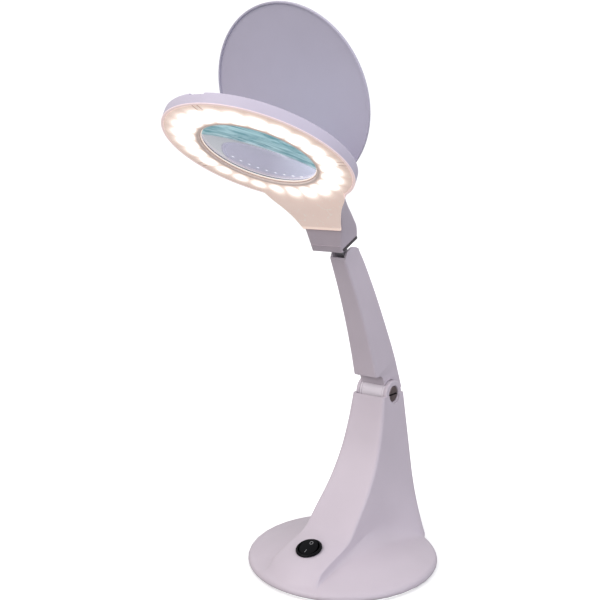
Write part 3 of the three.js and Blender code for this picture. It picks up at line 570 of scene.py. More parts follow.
def soften(obj, width, segments=3, angle=35):
    """Rounds every edge that is sharper than an angle."""
    step = obj.modifiers.new("soften", "BEVEL")
    step.width = width * 0.001
    step.segments = segments
    step.limit_method = "ANGLE"
    step.angle_limit = rad(angle)
    step.harden_normals = False
    return baked(obj)


def soften_where(obj, width, chosen, segments=3):
    """Rounds the sharp edges whose two ends both pass a test, given in millimetres."""
    mesh = obj.data
    mesh.update()
    normals = {}
    for face in mesh.polygons:
        for key in face.edge_keys:
            normals.setdefault(key, []).append(face.normal.copy())
    weight = mesh.attributes.new("bevel_weight_edge", "FLOAT", "EDGE")
    for edge in mesh.edges:
        sides = normals.get(tuple(sorted(edge.vertices)), [])
        sharp = len(sides) == 2 and sides[0].dot(sides[1]) < 0.6
        if sharp and all(chosen(mesh.vertices[i].co * 1000) for i in edge.vertices):
            weight.data[edge.index].value = 1.0
    step = obj.modifiers.new("soften", "BEVEL")
    step.width = width * 0.001
    step.segments = segments
    step.limit_method = "WEIGHT"
    return baked(obj)


def bend(a, corner, b, steps):
    """Points from a to b on a curve that leans into a corner."""
    fractions = [k / steps for k in range(steps + 1)]
    return [tuple(a * (1 - s) ** 2 + corner * 2 * s * (1 - s) + b * s * s) for s in fractions]


def filleted(points, radii, steps=5, closed=True):
    """A polygon with each corner rounded; radii is one number or one for each corner."""
    radii = [radii] * len(points) if isinstance(radii, (int, float)) else radii
    out = []
    for i, (p, r) in enumerate(zip(points, radii)):
        p = Vector(p)
        if not r or (not closed and i in (0, len(points) - 1)):
            out.append(tuple(p))
            continue
        before, after = Vector(points[i - 1]) - p, Vector(points[(i + 1) % len(points)]) - p
        r = min(r, before.length * 0.49, after.length * 0.49)
        a, b = p + before.normalized() * r, p + after.normalized() * r
        out += bend(a, p, b, steps)
    return out


def lathe(profile, segments=96, closed=False):
    """Turns [(radius, z), ...] about Z. Ends on the axis unless closed."""
    vertices, faces, rows = [], [], []
    for r, z in profile:
        if r < 1e-6:
            rows.append([len(vertices)] * segments)
            vertices.append((0, 0, z))
            continue
        rows.append(list(range(len(vertices), len(vertices) + segments)))
        for k in range(segments):
            a = 2 * math.pi * k / segments
            vertices.append((r * math.cos(a), r * math.sin(a), z))
    pairs = list(zip(rows, rows[1:])) + ([(rows[-1], rows[0])] if closed else [])
    for low, high in pairs:
        for k in range(segments):
            n = (k + 1) % segments
            corners = list(dict.fromkeys((low[k], low[n], high[n], high[k])))
            if len(corners) > 2:
                faces.append(corners)
    return vertices, faces


def hoop(inner, outer, z0, z1, round_by=0.0, segments=96):
    """A ring of rectangular section with rounded corners, or a disc when inner is 0."""
    section = filleted([(inner, z0), (outer, z0), (outer, z1), (inner, z1)], round_by, 4, inner > 0)
    return lathe(section, segments, inner > 0)


def moved(shape, matrix):
    return [tuple(matrix @ Vector(v)) for v in shape[0]], shape[1]


def across(shape, y=0.0, z=0.0):
    """A shape about Z laid along X, on an axis at (y, z)."""
    return moved(shape, shift(0, y, z) @ ACROSS)


def shifted(shape, x, y, z):
    return moved(shape, shift(x, y, z))


def together(*shapes):
    vertices, faces = [], []
    for v, f in shapes:
        faces += [[i + len(vertices) for i in face] for face in f]
        vertices += list(v)
    return vertices, faces


def slab(outline, x0, x1):
    """A side view [(y, z), ...] pulled out along X."""
    n = len(outline)
    vertices = [(x0, y, z) for y, z in outline] + [(x1, y, z) for y, z in outline]
    faces = [list(range(n))[::-1], list(range(n, 2 * n))]
    faces += [[i, (i + 1) % n, (i + 1) % n + n, i + n] for i in range(n)]
    return vertices, faces


def brick(low, high):
    (x0, y0, z0), (x1, y1, z1) = low, high
    return slab([(y0, z0), (y1, z0), (y1, z1), (y0, z1)], x0, x1)


def lofted(rings, caps=True):
    """A skin through closed rings of the same number of points."""
    n = len(rings[0])
    vertices = [tuple(v) for ring in rings for v in ring]
    faces = []
    for level in range(len(rings) - 1):
        for i in range(n):
            j = (i + 1) % n
            faces.append([level * n + i, level * n + j, (level + 1) * n + j, (level + 1) * n + i])
    if caps:
        faces.append(list(range(n))[::-1])
        faces.append(list(range((len(rings) - 1) * n, len(rings) * n)))
    return vertices, faces


def on_circle(radius, bearings):
    return [(radius * math.cos(rad(a)), radius * math.sin(rad(a))) for a in bearings]


def both_sides(half):
    """The whole ring from its right half, which starts and ends at x = 0."""
    left = [(-x, y, z) for x, y, z in reversed(half) if x > 1e-6]
    return list(half) + left


def between(pairs, at):
    """A straight line through [(input, output), ...], clamped at its ends."""
    if at <= pairs[0][0]:
        return pairs[0][1]
    for (a, low), (b, high) in zip(pairs, pairs[1:]):
        if at <= b:
            return low + (high - low) * (at - a) / (b - a)
    return pairs[-1][1]


def smooth_line(points, steps=12):
    """Catmull-Rom points through [(a, b), ...]."""
    p = [Vector(points[0]) * 2 - Vector(points[1])] + [Vector(q) for q in points]
    p.append(p[-1] * 2 - p[-2])
    out = []
    for i in range(1, len(p) - 2):
        for k in range(steps):
            s = k / steps
            out.append(tuple(0.5 * (2 * p[i] + (p[i + 1] - p[i - 1]) * s
                                    + (2 * p[i - 1] - 5 * p[i] + 4 * p[i + 1] - p[i + 2]) * s * s
                                    + (3 * p[i] - p[i - 1] - 3 * p[i + 1] + p[i + 2]) * s ** 3)))
    return out + [tuple(points[-1])]


# ---- foot and column

DOME_TOP, DOME_FALL = 20.9, 0.002057  # the dome's height is DOME_TOP - DOME_FALL * r * r
BASE_WALL = 2.6
EAR_R, EAR_IN, EAR_OUT = 12.3, 12.7, 16.2
COLUMN_TOP = 139.6
RIM_R, RIM_Z, RIM_ROUND = 82.35, 3.6, 4.8
# (z, y) of the column's front edge
CREASE = smooth_line([(4, -76), (10, -70.5), (17, -64), (21, -53), (25, -38), (28, -28), (33, -20),
                      (45.5, -9), (65.5, 9), (88.5, 23), (113.5, 32), (140.9, 38.3)])


def foot_profile():
    """(radius, z) over the foot, from its axis to its lower edge."""
    dome = [(r, DOME_TOP - DOME_FALL * r * r) for r in range(0, 76, 2)]
    rim = []
    for degrees in range(66, -1, -6):
        a = rad(degrees)
        rim.append((RIM_R - RIM_ROUND + RIM_ROUND * math.cos(a), RIM_Z + RIM_ROUND * math.sin(a)))
    return dome + rim + [(82.2, 2.8), (81.6, 2.1), (80.6, 1.5), (79.6, 1.1), (78.6, 1.0)]


def clamp(v, low=0.0, high=1.0):
    return max(low, min(high, v))


FRONT_STEPS = 12


def column_ring(z, inset=0.0):
    """The column's section at one height: (x, y) from the middle of the front round to the rear."""
    front = between(CREASE, z)
    half = 16.8 + 0.069 * (140.9 - z) - inset * 1.1
    flare = 6 * max(0, (70 - z) / 58) ** 2
    rear_half = 16.9 + 0.13 * (138.6 - z) + flare - inset * 1.25
    rear = 72.5 + 0.062 * (140 - z) - inset
    corner = 4.5 + 0.06 * (139 - z)
    crown = 3.2 * clamp((46 - z) / 20)
    bulge = front - between(CREASE, z - crown) + 4.3 * clamp((24 - z) / 10)
    start = max(-8, front + 0.12 * (rear - front))
    along = (start - max(-8, front)) / (rear - max(-8, front))
    start_half = half + (rear_half - half) * along
    edge = 3.6 - 1.4 * clamp((50 - z) / 25)
    face = [(half * t, front + inset - bulge * (1 - t * t)) for t in [k / 14 for k in range(15)]]
    face = [p for p in face if p[0] < half - edge]
    enter = Vector(face[-1])
    if half - enter.x >= edge * 1.2:
        enter = Vector((half - edge, front + inset - bulge * (1 - (1 - edge / half) ** 2)))
    face = [p for p in face if p[0] < enter.x - 0.01]
    out = resample(face + [tuple(enter)], FRONT_STEPS)
    corner_at, side = Vector((half, front + inset)), (start_half, start + inset)
    along_side = Vector(side) - corner_at
    leave = corner_at + along_side.normalized() * min(edge, along_side.length * 0.8)
    out += bend(enter, corner_at, leave, 6)[1:]
    out += resample([tuple(leave), side, (rear_half, rear - corner)], 26)[1:]
    for k in range(1, 9):
        t = rad(90 * k / 8)
        out.append((rear_half - corner + corner * math.cos(t), rear - corner + corner * math.sin(t)))
    out += resample([out[-1], (0, rear)], 8)[1:]
    return out


def resample(points, count):
    """count + 1 points at even distances along a polyline."""
    lengths = [0.0]
    for a, b in zip(points, points[1:]):
        lengths.append(lengths[-1] + (Vector(b) - Vector(a)).length)
    line = [[(d, p[k]) for d, p in zip(lengths, points)] for k in range(len(points[0]))]
    return [tuple(between(axis, lengths[-1] * i / count) for axis in line) for i in range(count + 1)]


def housing_skin():
    """One skin: down the column's walls, round a fillet, over the dome and round the rim."""
    heights = [COLUMN_TOP - 1.6 * k for k in range(int((COLUMN_TOP - 6) / 1.6) + 1)]
    walls = list(zip(*[[(x, y, z) for x, y in column_ring(z)] for z in heights]))
    profile = foot_profile()
    travel = [0.0]
    for (r0, z0), (r1, z1) in zip(profile, profile[1:]):
        travel.append(travel[-1] + math.hypot(r1 - r0, z1 - z0))
    radius_at = [(d, r) for d, (r, _) in zip(travel, profile)]
    z_at = [(d, z) for d, (_, z) in zip(travel, profile)]
    travel_of = [(r, d) for d, (r, z) in zip(travel, profile) if z >= RIM_Z - 0.01]
    columns = []
    for index, wall in enumerate(walls):
        def above(p):
            return p[2] - between(z_at, between(travel_of, math.hypot(p[0], p[1])))
        cross = next((k for k, p in enumerate(wall) if above(p) <= 0), len(wall) - 1)
        p, q = Vector(wall[cross - 1]), Vector(wall[cross])
        foot = p.lerp(q, clamp(above(p) / max(1e-6, above(p) - above(q))))
        rise = 2.2 if index < FRONT_STEPS else 15.0 - 10.5 * clamp((-foot.y - 5) / 45)
        reach = math.hypot(foot.x, foot.y)
        start = between(travel_of, reach)
        run = max(0.8, min(rise, (travel[-1] - start - 7) * 0.6))
        lift = min(rise, max(1.2, run * 1.3))
        top_z = foot.z + lift
        upper = [w for w in wall[:cross] if w[2] > top_z + 0.4]
        up_point = Vector([between([(-w[2], w[k]) for w in wall[: cross + 1]], -top_z) for k in range(3)])
        direction = Vector((foot.x, foot.y)).normalized()

        def on_foot(d):
            r = between(radius_at, d)
            return Vector((direction.x * r, direction.y * r, between(z_at, d)))
        fillet = bend(up_point, foot, on_foot(start + run), 7)
        room = travel[-1] - start - run
        rest = [tuple(on_foot(start + run + room * (k / 34) ** 0.8)) for k in range(1, 35)]
        columns.append(resample(upper + [fillet[0]], 52)[:-1] + fillet + rest)
    middle = (0, len(columns) - 1)
    rings = []
    for level in range(len(columns[0])):
        row = [c[level] for c in columns]
        rings.append(both_sides([(0.0 if i in middle else x, y, z) for i, (x, y, z) in enumerate(row)]))
    return lofted(rings)


def column_hollow():
    rings = []
    for z in (-1, 14, 18, 22, 26, 32, 42, 58, 92, 150):
        section = column_ring(clamp(z, 14, COLUMN_TOP) + BASE_WALL, BASE_WALL)
        rings.append(both_sides([(x, y, z) for x, y in section]))
    return lofted(rings)


def build_base():
    skin = blank("foot_and_column", housing_skin(), WORLD, "shell")
    # the column's top slopes down to the rear
    front, rear, high, low = 20, 90, 141.2, 137.4
    top = slab([(front, high), (rear, low), (rear, 170), (front, 170)], -40, 40)
    dome = [(r, DOME_TOP - DOME_FALL * r * r - BASE_WALL) for r in (76.4, 68, 50, 30)]
    under = lathe([(0, -2), (77.1, -2), (77.1, 5)] + dome + [(0, DOME_TOP - BASE_WALL)], 120)
    hollow = carve(tool(column_hollow()), [brick((-30, -90, -2), (30, -62, 30))])
    carve(skin, [top, under, hollow])

    def on_top_edge(p):
        on_slope = abs(p.z - (high - (high - low) / (rear - front) * (p.y - front))) < 0.02
        return on_slope and (abs(p.x) > 13 or p.y < 42 or p.y > 70)
    soften_where(skin, 0.9, on_top_edge)
    outline = [(PIVOT_Y + y, PIVOT_Z + z) for y, z in on_circle(EAR_R, range(0, 181, 6))]
    outline += [(PIVOT_Y - EAR_R, 121), (PIVOT_Y + EAR_R, 121)]
    sides = ((EAR_IN, EAR_OUT), (-EAR_OUT, -EAR_IN))
    ears = [soften(tool(slab(outline, *ends)), 0.7, 3, 60) for ends in sides]
    carve(skin, ears, "UNION")
    room = brick((-EAR_IN, PIVOT_Y - 13, 118), (EAR_IN, PIVOT_Y + 14, 165))
    # seats for the hinge screw's head and its nut
    seats = [[(0, s * d), (7.4, s * d), (7.4, s * 15.6), (8.0, s * 16.3), (8.0, s * 20), (0, s * 20)]
             for s, d in ((1, 14.3), (-1, 14.0))]
    inlet = shift(0, 0, INLET_Z) @ BACKWARD
    carve(skin, [
        room,
        across(hoop(0, 3.4, -20, 20, 0, 32), PIVOT_Y, PIVOT_Z),
        *[across(lathe(seat, 64), PIVOT_Y, PIVOT_Z) for seat in seats],
        tool(hoop(0, 10.2, -20, 5, 0, 72), SWITCH),
        tool(lathe([(0, 0), (11.6, 0), (11.6, 6), (0, 6)], 72), SWITCH),
        tool(hoop(0, 4.3, 60, 90, 0, 40), inlet),
        tool(hoop(0, 6.2, 79.5, 92, 0, 48), inlet),
    ])
    settle(skin, "base", ["base_housing"], 32)


def build_underside():
    profile = [(0, 0.0)]
    for r in range(6, 72, 6):
        profile += [(r, 0.0), (r + 0.5, 0.5), (r + 1.5, 0.5), (r + 2.0, 0.0)]
    radii = [0] * len(profile) + [0.6, 0.3, 0]
    profile += [(75, 0), (75, 1.7), (0, 1.7)]
    screws = on_circle(FOOT_SCREW_CIRCLE, (45, 135, 225, 315))
    pad = blank("foot_pad", lathe(filleted(profile, radii, 3, False), 120), WORLD, "rubber")
    carve(pad, [shifted(hoop(0, 4, -1, 6, 0, 32), x, y, 0) for x, y in screws])
    settle(pad, "base", ["antislip_pad"])
    plate = blank("foot_plate", hoop(0, 76.4, 2, 4, 0.5, 120), WORLD, "dark_plastic")
    carve(plate, [shifted(hoop(0, 1.8, 0, 6, 0, 24), x, y, 0) for x, y in screws])
    settle(plate, "base", ["base_plate"])


def build_switch():
    inner, outer = 9.1, 9.9
    section = [(inner, 0.3), (11.3, 0.3), (11.3, 1.3), (10.3, 2.1), (9.5, 2.1), (inner, 1.6)]
    section = filleted(section, [0, 0.2, 0.7, 0.7, 0.3, 0.2], 4)
    bezel = blank("switch_bezel", lathe(section, 96, True), SWITCH, "black_plastic")
    barrel, cup = hoop(inner, outer, -11, 0.9, 0.2), hoop(0, outer, -13.5, -11, 0.3)
    carve(bezel, [barrel, cup], "UNION", SWITCH)
    settle(bezel, "base", ["switch_body"])
    side = filleted([(-8.4, 0.9), (0, 2.1), (7.8, 3.9), (8.3, 0.3), (4.5, -5), (-4.5, -5), (-8.3, -1.5)],
                    [0.5, 3.0, 0.5, 0, 0.5, 0.5, 0], 5)
    rocker = blank("rocker_cap", slab(side, -9, 9), SWITCH, "black_plastic")
    carve(rocker, [hoop(0, 8.0, -8, 8, 0, 96)], "INTERSECT", SWITCH)
    soften(rocker, 0.35, 3, 50)
    settle(rocker, "switch", ["switch_rocker"])
    # generic off and on marks, which stand a little proud of the two flats
    rear_flat = SWITCH @ shift(0, 4.3, 3.1) @ Matrix.Rotation(math.atan2(1.8, 7.8), 4, "X")
    front_flat = SWITCH @ shift(0, -4.4, 1.48) @ Matrix.Rotation(math.atan2(1.2, 8.4), 4, "X")
    piece("mark_off", hoop(1.2, 1.6, -0.1, 0.08, 0.03, 40), rear_flat, "switch", None, look="mark")
    bar = filleted([(-1.6, -0.1), (1.6, -0.1), (1.6, 0.08), (-1.6, 0.08)], 0.03, 2)
    piece("mark_on", slab(bar, -0.2, 0.2), front_flat, "switch", None, look="mark")


def washers(name, replaced, place, body, bore, radius, near, far, segments):
    """A pair of washers on an axle along X."""
    for side, ends in (("right", (near, far)), ("left", (-far, -near))):
        disc = across(hoop(bore, radius, *ends, 0.2, segments))
        piece(f"{name}_{side}", disc, place, body, "acetal", [f"{replaced}_{side}"])


def build_lower_hinge():
    axle = PIVOT @ ACROSS
    profile = [(0, -15.6), (3, -15.6), (3, 14.6), (6.9, 14.6), (6.9, 15.3), (6.1, 15.8), (0, 16.0)]
    profile = filleted(profile, [0, 0.3, 0, 0.1, 0.2, 0.4, 0], 4, False)
    screw = blank("hinge_screw", lathe(profile, 72), axle, "nickel")
    carve(screw, [brick((-0.75, -8, 14.9), (0.75, 8, 18))], place=axle)
    # the faces inside the slot take the painted shade
    screw.data.materials.append(finish["slot_painted_shade"])
    for face in screw.data.polygons:
        at = axle.inverted() @ (face.center * 1000)
        face.material_index = int(abs(at.x) < 0.77 and 14.7 < at.z < 15.95 and abs(at.y) < 6.8)
    settle(screw, "base", ["lower_hinge_screw"])
    end, seat = -15.9, -14.3
    prism = filleted([(0, end), (6.35, end), (6.35, seat), (0, seat)], [0, 0.5, 0.5, 0], 3, False)
    cone = lathe([(0, end), (5.4, end), (6.6, -15.3), (6.6, seat), (0, seat)], 48)
    nut = blank("hinge_nut", cone, axle, "nickel")
    carve(nut, [lathe(prism, 6)], "INTERSECT", axle)
    carve(nut, [hoop(0, BARREL_BORE, -20, -10, 0, 32)], place=axle)
    settle(nut, "base", ["lower_hinge_nut"])
    washers("friction_washer", "lower_washer", PIVOT, "base", BARREL_BORE, 11.9, 10.68, 12.62, 96)


def build_inlet():
    place = shift(0, 80.1, INLET_Z) @ BACKWARD
    shell = [(2.8, -8), (2.8, 1.0), (5.8, 1.0), (5.8, -0.3), (3.9, -0.3), (3.9, -14), (2.6, -14),
             (2.6, -17), (0, -17), (0, -8)]
    shell = filleted(shell, [0, 0.3, 0.4, 0.1, 0, 0.2, 0, 0.3, 0, 0], 3)
    body = blank("inlet_socket", lathe(shell + [shell[0]], 64), place, "black_plastic")
    pin = filleted([(0, -9), (1, -9), (1, 0.2), (0, 0.4)], [0, 0, 0.5, 0], 3, False)
    carve(body, [lathe(pin, 24)], "UNION", place)
    settle(body, "base", ["power_inlet"])


# ---- arm

ARM_FRONT = smooth_line([(25.6, -13.2), (50, -10.9), (80, -9.4), (110, -9.4), (140.8, -10.8)])
ARM_REAR = smooth_line([(-6, 19.5), (36, 20), (74, 18.6), (99, 16.9), (125, 14), (138, 11.6)])


ARM_WALL = 1.9


def arm_half(z):
    return 12.2 - 4.2 * clamp((z - 25) / 116, 0, 1.2)


def arm_taper(wall):
    """A block as wide as the arm with a wall taken off each side."""
    corners = ((1, -40), (1, 40), (-1, 40), (-1, -40))
    levels = (-30, 25, 80, 141, 170)
    return lofted([[(s * (arm_half(z) - wall), y, z) for s, y in corners] for z in levels])


def arm_ring(z, inset=0.0):
    half = arm_half(z) - inset
    front, rear = between(ARM_FRONT, z) + inset, between(ARM_REAR, z) - inset
    corners = filleted([(0, front), (half, front), (half, rear), (0, rear)],
                       [0, 2.5 - inset, 2.4 - min(inset, 1.4), 0], 7, False)
    return both_sides([(x, y, z) for x, y in corners])


def arc(centre_z, radius, start, end, steps):
    """(y, z) along an arc about the X axis, from one bearing to another in radians."""
    turns = [start + (end - start) * k / steps for k in range(steps + 1)]
    return [(radius * math.cos(a), centre_z + radius * math.sin(a)) for a in turns]


def arm_outline():
    """(y, z) round the arm: bitten out round the lower barrel, and rounded off over the upper pin."""
    outline = [(-30, 25.6), (-13.4, 25.6), (-6.6, 22.8), (-4.9, 19.5)]
    outline += arc(0, 12.6, rad(112), rad(-17), 24) + [(19.5, -5), (30, -5), (30, ARM_LENGTH + 7.2)]
    outline += arc(ARM_LENGTH, 12.5, math.atan2(7.2, 10.2), rad(118), 20)
    return outline + [(-10.8, ARM_LENGTH + 6.4), (-30, ARM_LENGTH + 6.4)]


def build_arm():
    shell = blank("arm_housing", lofted([arm_ring(-8 + 3.1 * k) for k in range(52)]), ARM, "shell")
    carve(shell, [slab(arm_outline(), -16, 16)], "INTERSECT", ARM)
    inner = [(between(ARM_FRONT, 25.6) + ARM_WALL, 27.6), (-5.3, 25.0), (-2.9, 20.9), (-2.9, 8),
             (9, -2.2), (17.6, -2.6), (17.6, 21.7), (30, 21.7), (30, 160), (-10.8 + ARM_WALL, 160)]
    inner += [(y + ARM_WALL, z) for z, y in reversed(ARM_FRONT) if z > 26]
    channel = tool(slab(inner, -16, 16), ARM)
    carve(channel, [arm_taper(ARM_WALL)], "INTERSECT", ARM)
    carve(shell, [channel])
    soften(shell, 0.45, 2, 50)
    settle(shell, "arm", ["arm_shell"], 40)

    outer = [(y - 0.3, z) for z, y in ARM_REAR if 22 < z < 133]
    outline = outer + [(y - 2, z) for y, z in reversed(outer)]
    cover = blank("arm_cover", slab(outline, -16, 16), ARM, "shell")
    carve(cover, [arm_taper(2.2)], "INTERSECT", ARM)
    holes = []
    for z in (72, 106):
        seat = between(ARM_REAR, z) - 1.2
        hole = lathe([(0, 0), (1.6, 0), (1.6, seat), (2.8, seat), (2.8, 30), (0, 30)], 40)
        holes.append(moved(hole, shift(0, 0, z) @ BACKWARD))
    carve(cover, holes, place=ARM)
    soften(cover, 0.3, 2, 50)
    settle(cover, "arm", ["arm_back_cover"], 40)

    half = 10.6
    section = [(BARREL_BORE, -half), (12, -half), (12, half), (BARREL_BORE, half)]
    section = filleted(section, [0.3, 0.8, 0.8, 0.3], 4)
    knuckle = blank("arm_barrel", across(lathe(section, 96, True)), ARM, "acetal")
    stem = soften(tool(brick((-8, -2.5, 5), (8, 4, 60)), ARM), 0.6)
    carve(knuckle, [stem], "UNION")
    settle(knuckle, "arm", ["arm_knuckle"])


def build_tongue():
    root = blank("neck_tongue_plate", across(hoop(TONGUE_BORE, 7.5, -3.6, 3.6, 0.5, 64)), TONGUE, "steel")
    stem = soften(tool(brick((-3.6, -5, 4.5), (3.6, 1.6, 31)), TONGUE), 0.5)
    carve(root, [stem], "UNION")
    settle(root, "head", ["neck_tongue"])
    washers("neck_washer", "upper_washer", TONGUE, "head", TONGUE_BORE, 5.6, 3.8, 4.7, 48)


# ---- head

# (y, z) and half width of the neck's under edge, then of its top edge
NECK = [
    ((56, 2.4), 46, (56, RING_H), 46), ((66, -0.8), 36.5, (72, RING_H), 30),
    ((75, -4.2), 29.5, (83, RING_H), 22.5), ((83, -7.4), 24.5, (92, 7.4), 19.5),
    ((90, -10.8), 21.3, (101, 4.9), 18.2), ((95.6, -14.2), 19.2, (109, 2.2), 17.3),
    ((101.5, -20.6), 17, (116.5, -0.8), 16.4), ((107.3, -26.6), 15.6, (121.4, -6.2), 15.8),
]
# (y, z) and half width of the cover's tail
TAIL = [((56, 0), 40), ((66, -3), 36), ((74, -6.3), 29.5), ((82, -9.5), 24.5), ((89, -12.8), 21),
        ((94.3, -15.4), 19)]


def smooth_rows(rows, steps):
    """Rows of numbers with smooth ones between them."""
    columns = [smooth_line(list(enumerate(column)), steps) for column in zip(*rows)]
    return [[v for _, v in row] for row in zip(*columns)]


def neck_stations(steps=5):
    """The neck's stations with smooth ones between them."""
    rows = smooth_rows([u + (uh,) + t + (th,) for u, uh, t, th in NECK], steps)
    return [((uy, uz), uh, (ty, tz), th) for uy, uz, uh, ty, tz, th in rows]


def neck_ring(station, inset=0.0, corner=2.2):
    """The neck's section at one station, across the line from its top edge to its under edge."""
    (uy, uz), under_half, (ty, tz), top_half = station
    down = Vector((uy - ty, uz - tz))
    depth = down.length
    down.normalize()
    lower, upper = under_half - inset, top_half - inset
    flat = filleted([(0, inset), (upper, inset), (lower, depth - inset), (0, depth - inset)],
                    [0, corner, corner, 0], 6, False)
    return both_sides([(x, ty + down.x * d, tz + down.y * d) for x, d in flat])


def neck_end(distance, inset, back=0.0, corner=2.2):
    """The last station's section carried on past the neck's end; back lifts its under edge."""
    (uy, uz), under_half, (ty, tz), top_half = NECK[-1]
    up = Vector((ty - uy, tz - uz)).normalized()
    past = Vector((up.y, -up.x)) * distance
    under = Vector((uy, uz)) + past + up * back
    top = Vector((ty, tz)) + past
    return neck_ring((tuple(under), under_half, tuple(top), top_half), inset, corner)


def tail_rings(margin, thickness, steps=4):
    """Sections of the cover's tail, or, with a margin, of the recess that it lies in."""
    line = smooth_rows([(y, z, half) for (y, z), half in TAIL], steps)
    rings = []
    for i, (y, z, half) in enumerate(line):
        ahead, behind = line[min(i + 1, len(line) - 1)], line[max(i - 1, 0)]
        run = Vector((ahead[0] - behind[0], ahead[1] - behind[1])).normalized()
        w = half + margin
        ring = [(w, -margin), (w, thickness), (-w, thickness), (-w, -margin)]
        if margin == 0:
            ring = filleted(ring, 0.5, 3)
        rings.append([(x, y - run.y * up, z + run.x * up) for x, up in ring])
    return rings


def build_head():
    section = [(COVER_R, 0), (RING_R, 0), (RING_R, RING_H), (44.6, RING_H), (44, 8.4), (44, RECESS_Z),
               (46.6, RECESS_Z), (46.6, 1.9), (48.4, 1.9), (48.4, RECESS_Z), (COVER_R, RECESS_Z)]
    section = filleted(section, [0.3, 0.5, 1.8, 0.3, 0.3, 0, 0, 0.3, 0.3, 0, 0], 4)
    skin = blank("head_shell", lathe(section, 180, True), HEAD, "head_shell")
    neck = tool(lofted([neck_ring(s) for s in neck_stations()]), HEAD)
    carve(neck, [hoop(0, COVER_R, -40, RECESS_Z, 0, 180)], place=HEAD)
    lip = tool(lofted([neck_end(-3, 0), neck_end(2.6, 0)]), HEAD)
    carve(lip, [lofted([neck_end(-6, -3, 4.5), neck_end(8, -3, 4.5)])], place=HEAD)
    post = across(hoop(0, 1.9, -7.6, 7.6, 0.3, 40), *LID_AXIS)
    foot = brick((-7.6, LID_AXIS[0] - 1.4, 8.5), (7.6, LID_AXIS[0] + 1.4, LID_AXIS[1]))
    carve(skin, [neck, lip, post, foot], "UNION", HEAD)
    hollow = [neck_ring(s, 2.0) for s in neck_stations()[10:]] + [neck_end(8, 2.0)]
    carve(skin, [
        lofted(tail_rings(0.3, 1.9)),
        brick((-7, -80, RING_H - 1.8), (7, -70.4, RING_H + 2)),
        across(hoop(0, 1.2, -9, 9, 0, 24), *LID_AXIS),
        lofted(hollow),
    ], place=HEAD)
    settle(skin, "head", ["head_housing"], 34)

    rings = [neck_end(0.3, 0.3, 2.2), neck_end(2.8, 0.3, 2.2), neck_end(3.4, 0.9, 2.2, 1.8)]
    cap = blank("neck_cap", lofted(rings), HEAD, "dark_plastic")
    carve(cap, [brick((-3.9, -5.3, 0), (3.9, 1.9, 40))], place=TONGUE)
    settle(cap, "head", ["neck_end_cap"])


def build_light():
    base = blank("led_panel", hoop(48.8, 71, 5.3, 6.9, 0.1, 144), HEAD, "white_board")
    hole = hoop(0, 1.5, 3, 8, 0, 24)
    carve(base, [shifted(hole, x, y, 0) for x, y in on_circle(64.5, (30, 150, 270))], place=HEAD)
    settle(base, "head", ["led_board"])
    package, window = [], []
    for i in range(LED_COUNT):
        spot = turn(360 / LED_COUNT * (i + 0.5) + 90, "Z") @ shift(LED_CIRCLE, 0, 0)
        package.append(moved(brick((-2.5, -2.5, 3.9), (2.5, 2.5, 5.29)), spot))
        window.append(moved(lathe([(0, 3.55), (1.2, 3.62), (1.9, 3.88), (1.9, 4.1), (0, 4.1)], 20), spot))
    soften(piece("led_packages", together(*package), HEAD, "head", "white_board"), 0.25, 2)
    piece("led_windows", together(*window), HEAD, "head", None, look="led_phosphor")

    plate = filleted([(44.8, 0.0), (71.25, 0.0), (71.25, 1.6), (44.8, 1.6)], [0.5, 0.2, 0.2, 0.2], 4)
    cover = blank("light_cover", lathe(plate, 180, True), HEAD, "clear_cover")
    parts = [lofted(tail_rings(0, 1.6))]
    for degrees in COVER_CLIPS:
        hook = moved(brick((-1.5, 69.6, 0.3), (1.5, 70.8, 4)), turn(degrees, "Z"))
        parts.append(soften(tool(hook, HEAD), 0.3, 2))
    carve(cover, parts, "UNION", HEAD)
    slits = []
    for degrees in COVER_CLIPS:
        for x in (-CLIP_HALF, CLIP_HALF):
            slit = brick((x - 0.3, 66.0, -1), (x + 0.3, 72, 0.7))
            slits.append(moved(slit, turn(degrees, "Z")))
    carve(cover, slits, place=HEAD)
    settle(cover, "head", ["led_cover"])


def build_lens():
    sag, steps = 3.0, 24
    under = [(LENS_R * k / steps, 3.6 - sag * (1 - (k / steps) ** 2)) for k in range(steps + 1)]
    over = [(LENS_R * k / steps, 6.1 + sag * (1 - (k / steps) ** 2)) for k in range(steps, -1, -1)]
    lens = piece("magnifier", lathe(under + over, 128), HEAD, "head", "lens_glass", ["main_lens"], 50)
    lens.data.materials.append(finish["ground_edge"])
    upright = HEAD.to_3x3() @ Vector((0, 0, 1))
    for face in lens.data.polygons:
        face.material_index = int(abs(face.normal.dot(upright)) < 0.3)
    ring = hoop(43.6, 46.3, 1.95, 2.9, 0.35, 144)
    piece("retaining_ring", ring, HEAD, "head", "acetal", ["lens_retainer"], look="lit_acetal")
    piece("seat_gasket", hoop(45, 46.3, 6.4, 6.9, 0.15, 120), HEAD, "head", "rubber", ["lens_gasket"])
    pin = filleted([(0, -16.5), (0.9, -16.5), (0.9, 16.5), (0, 16.5)], [0, 0.3, 0.3, 0], 3, False)
    piece("lid_pin", across(lathe(pin, 24), *LID_AXIS), HEAD, "head", "steel", ["lid_hinge_pin"])


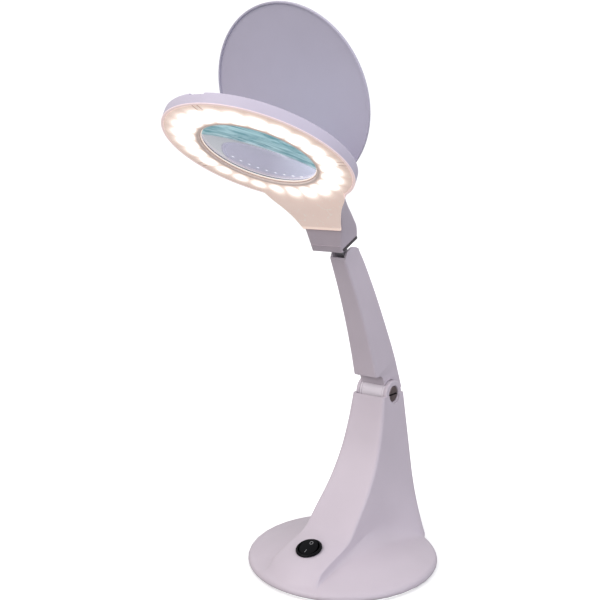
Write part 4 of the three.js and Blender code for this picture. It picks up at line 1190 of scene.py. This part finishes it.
def build_lid():
    low, top, r = -1.9, 0.5, 70.3
    rim = r - 1.5
    profile = filleted([(0, low + 1.2), (rim, low + 1.2), (rim, low), (r, low), (r, top), (0, top)],
                       [0, 0.7, 0.4, 0.5, 1.0, 0], 5, False)
    lid = blank("lens_cover_lid", shifted(lathe(profile, 180), 0, -66.8, 0), LID, "lid")
    carve(lid, [brick((-80, -6, -10), (80, 20, 10))], place=LID)
    knuckles = []
    for x0, x1 in ((8, 16), (-16, -8)):
        knuckles.append(across(hoop(0, 1.9, x0, x1, 0.3, 40)))
        knuckles.append(brick((x0, -9, top - 1.2), (x1, 0, top)))
    carve(lid, knuckles, "UNION", LID)
    carve(lid, [across(hoop(0, 1.2, -20, 20, 0, 24))], place=LID)
    settle(lid, "lid", ["lens_lid"], 34)


build_base()
build_underside()
build_switch()
build_lower_hinge()
build_inlet()
build_arm()
build_tongue()
build_head()
build_light()
build_lens()
build_lid()


# ---- floor


def floor():
    shape = lathe([(79, -0.02), (3000, -0.02)], 96)
    mesh = bpy.data.meshes.new("floor")
    mesh.from_pydata([Vector(v) * 0.001 for v in shape[0]], [], [face[::-1] for face in shape[1]])
    obj = bpy.data.objects.new("floor", mesh)
    scene.collection.objects.link(obj)
    t = Tree("floor")
    seen = t.add("LightPath").outputs["Is Camera Ray"]
    pale = t.blend(t.noise(3, 2), (0.84, 0.84, 0.84, 1), (0.86, 0.86, 0.86, 1))
    t.give("Base Color", t.blend(seen, (0.3, 0.3, 0.3, 1), pale))
    t.glow((1, 1, 1, 1), t.times(seen, 0.42))
    t.give("Roughness", 0.9)
    t.give("Specular IOR Level", 0.1)
    # clear from below, so that the lamp's underside can be looked at
    either = t.add("MixShader")
    below, glassy = t.add("NewGeometry").outputs["Backfacing"], t.add("BsdfTransparent")
    for socket, value in zip(either.inputs, (below, t.shader.outputs[0], glassy.outputs[0])):
        t.put(socket, value)
    t.put(t.nodes["Material Output"].inputs["Surface"], either.outputs[0])
    mesh.materials.append(t.material)


floor()
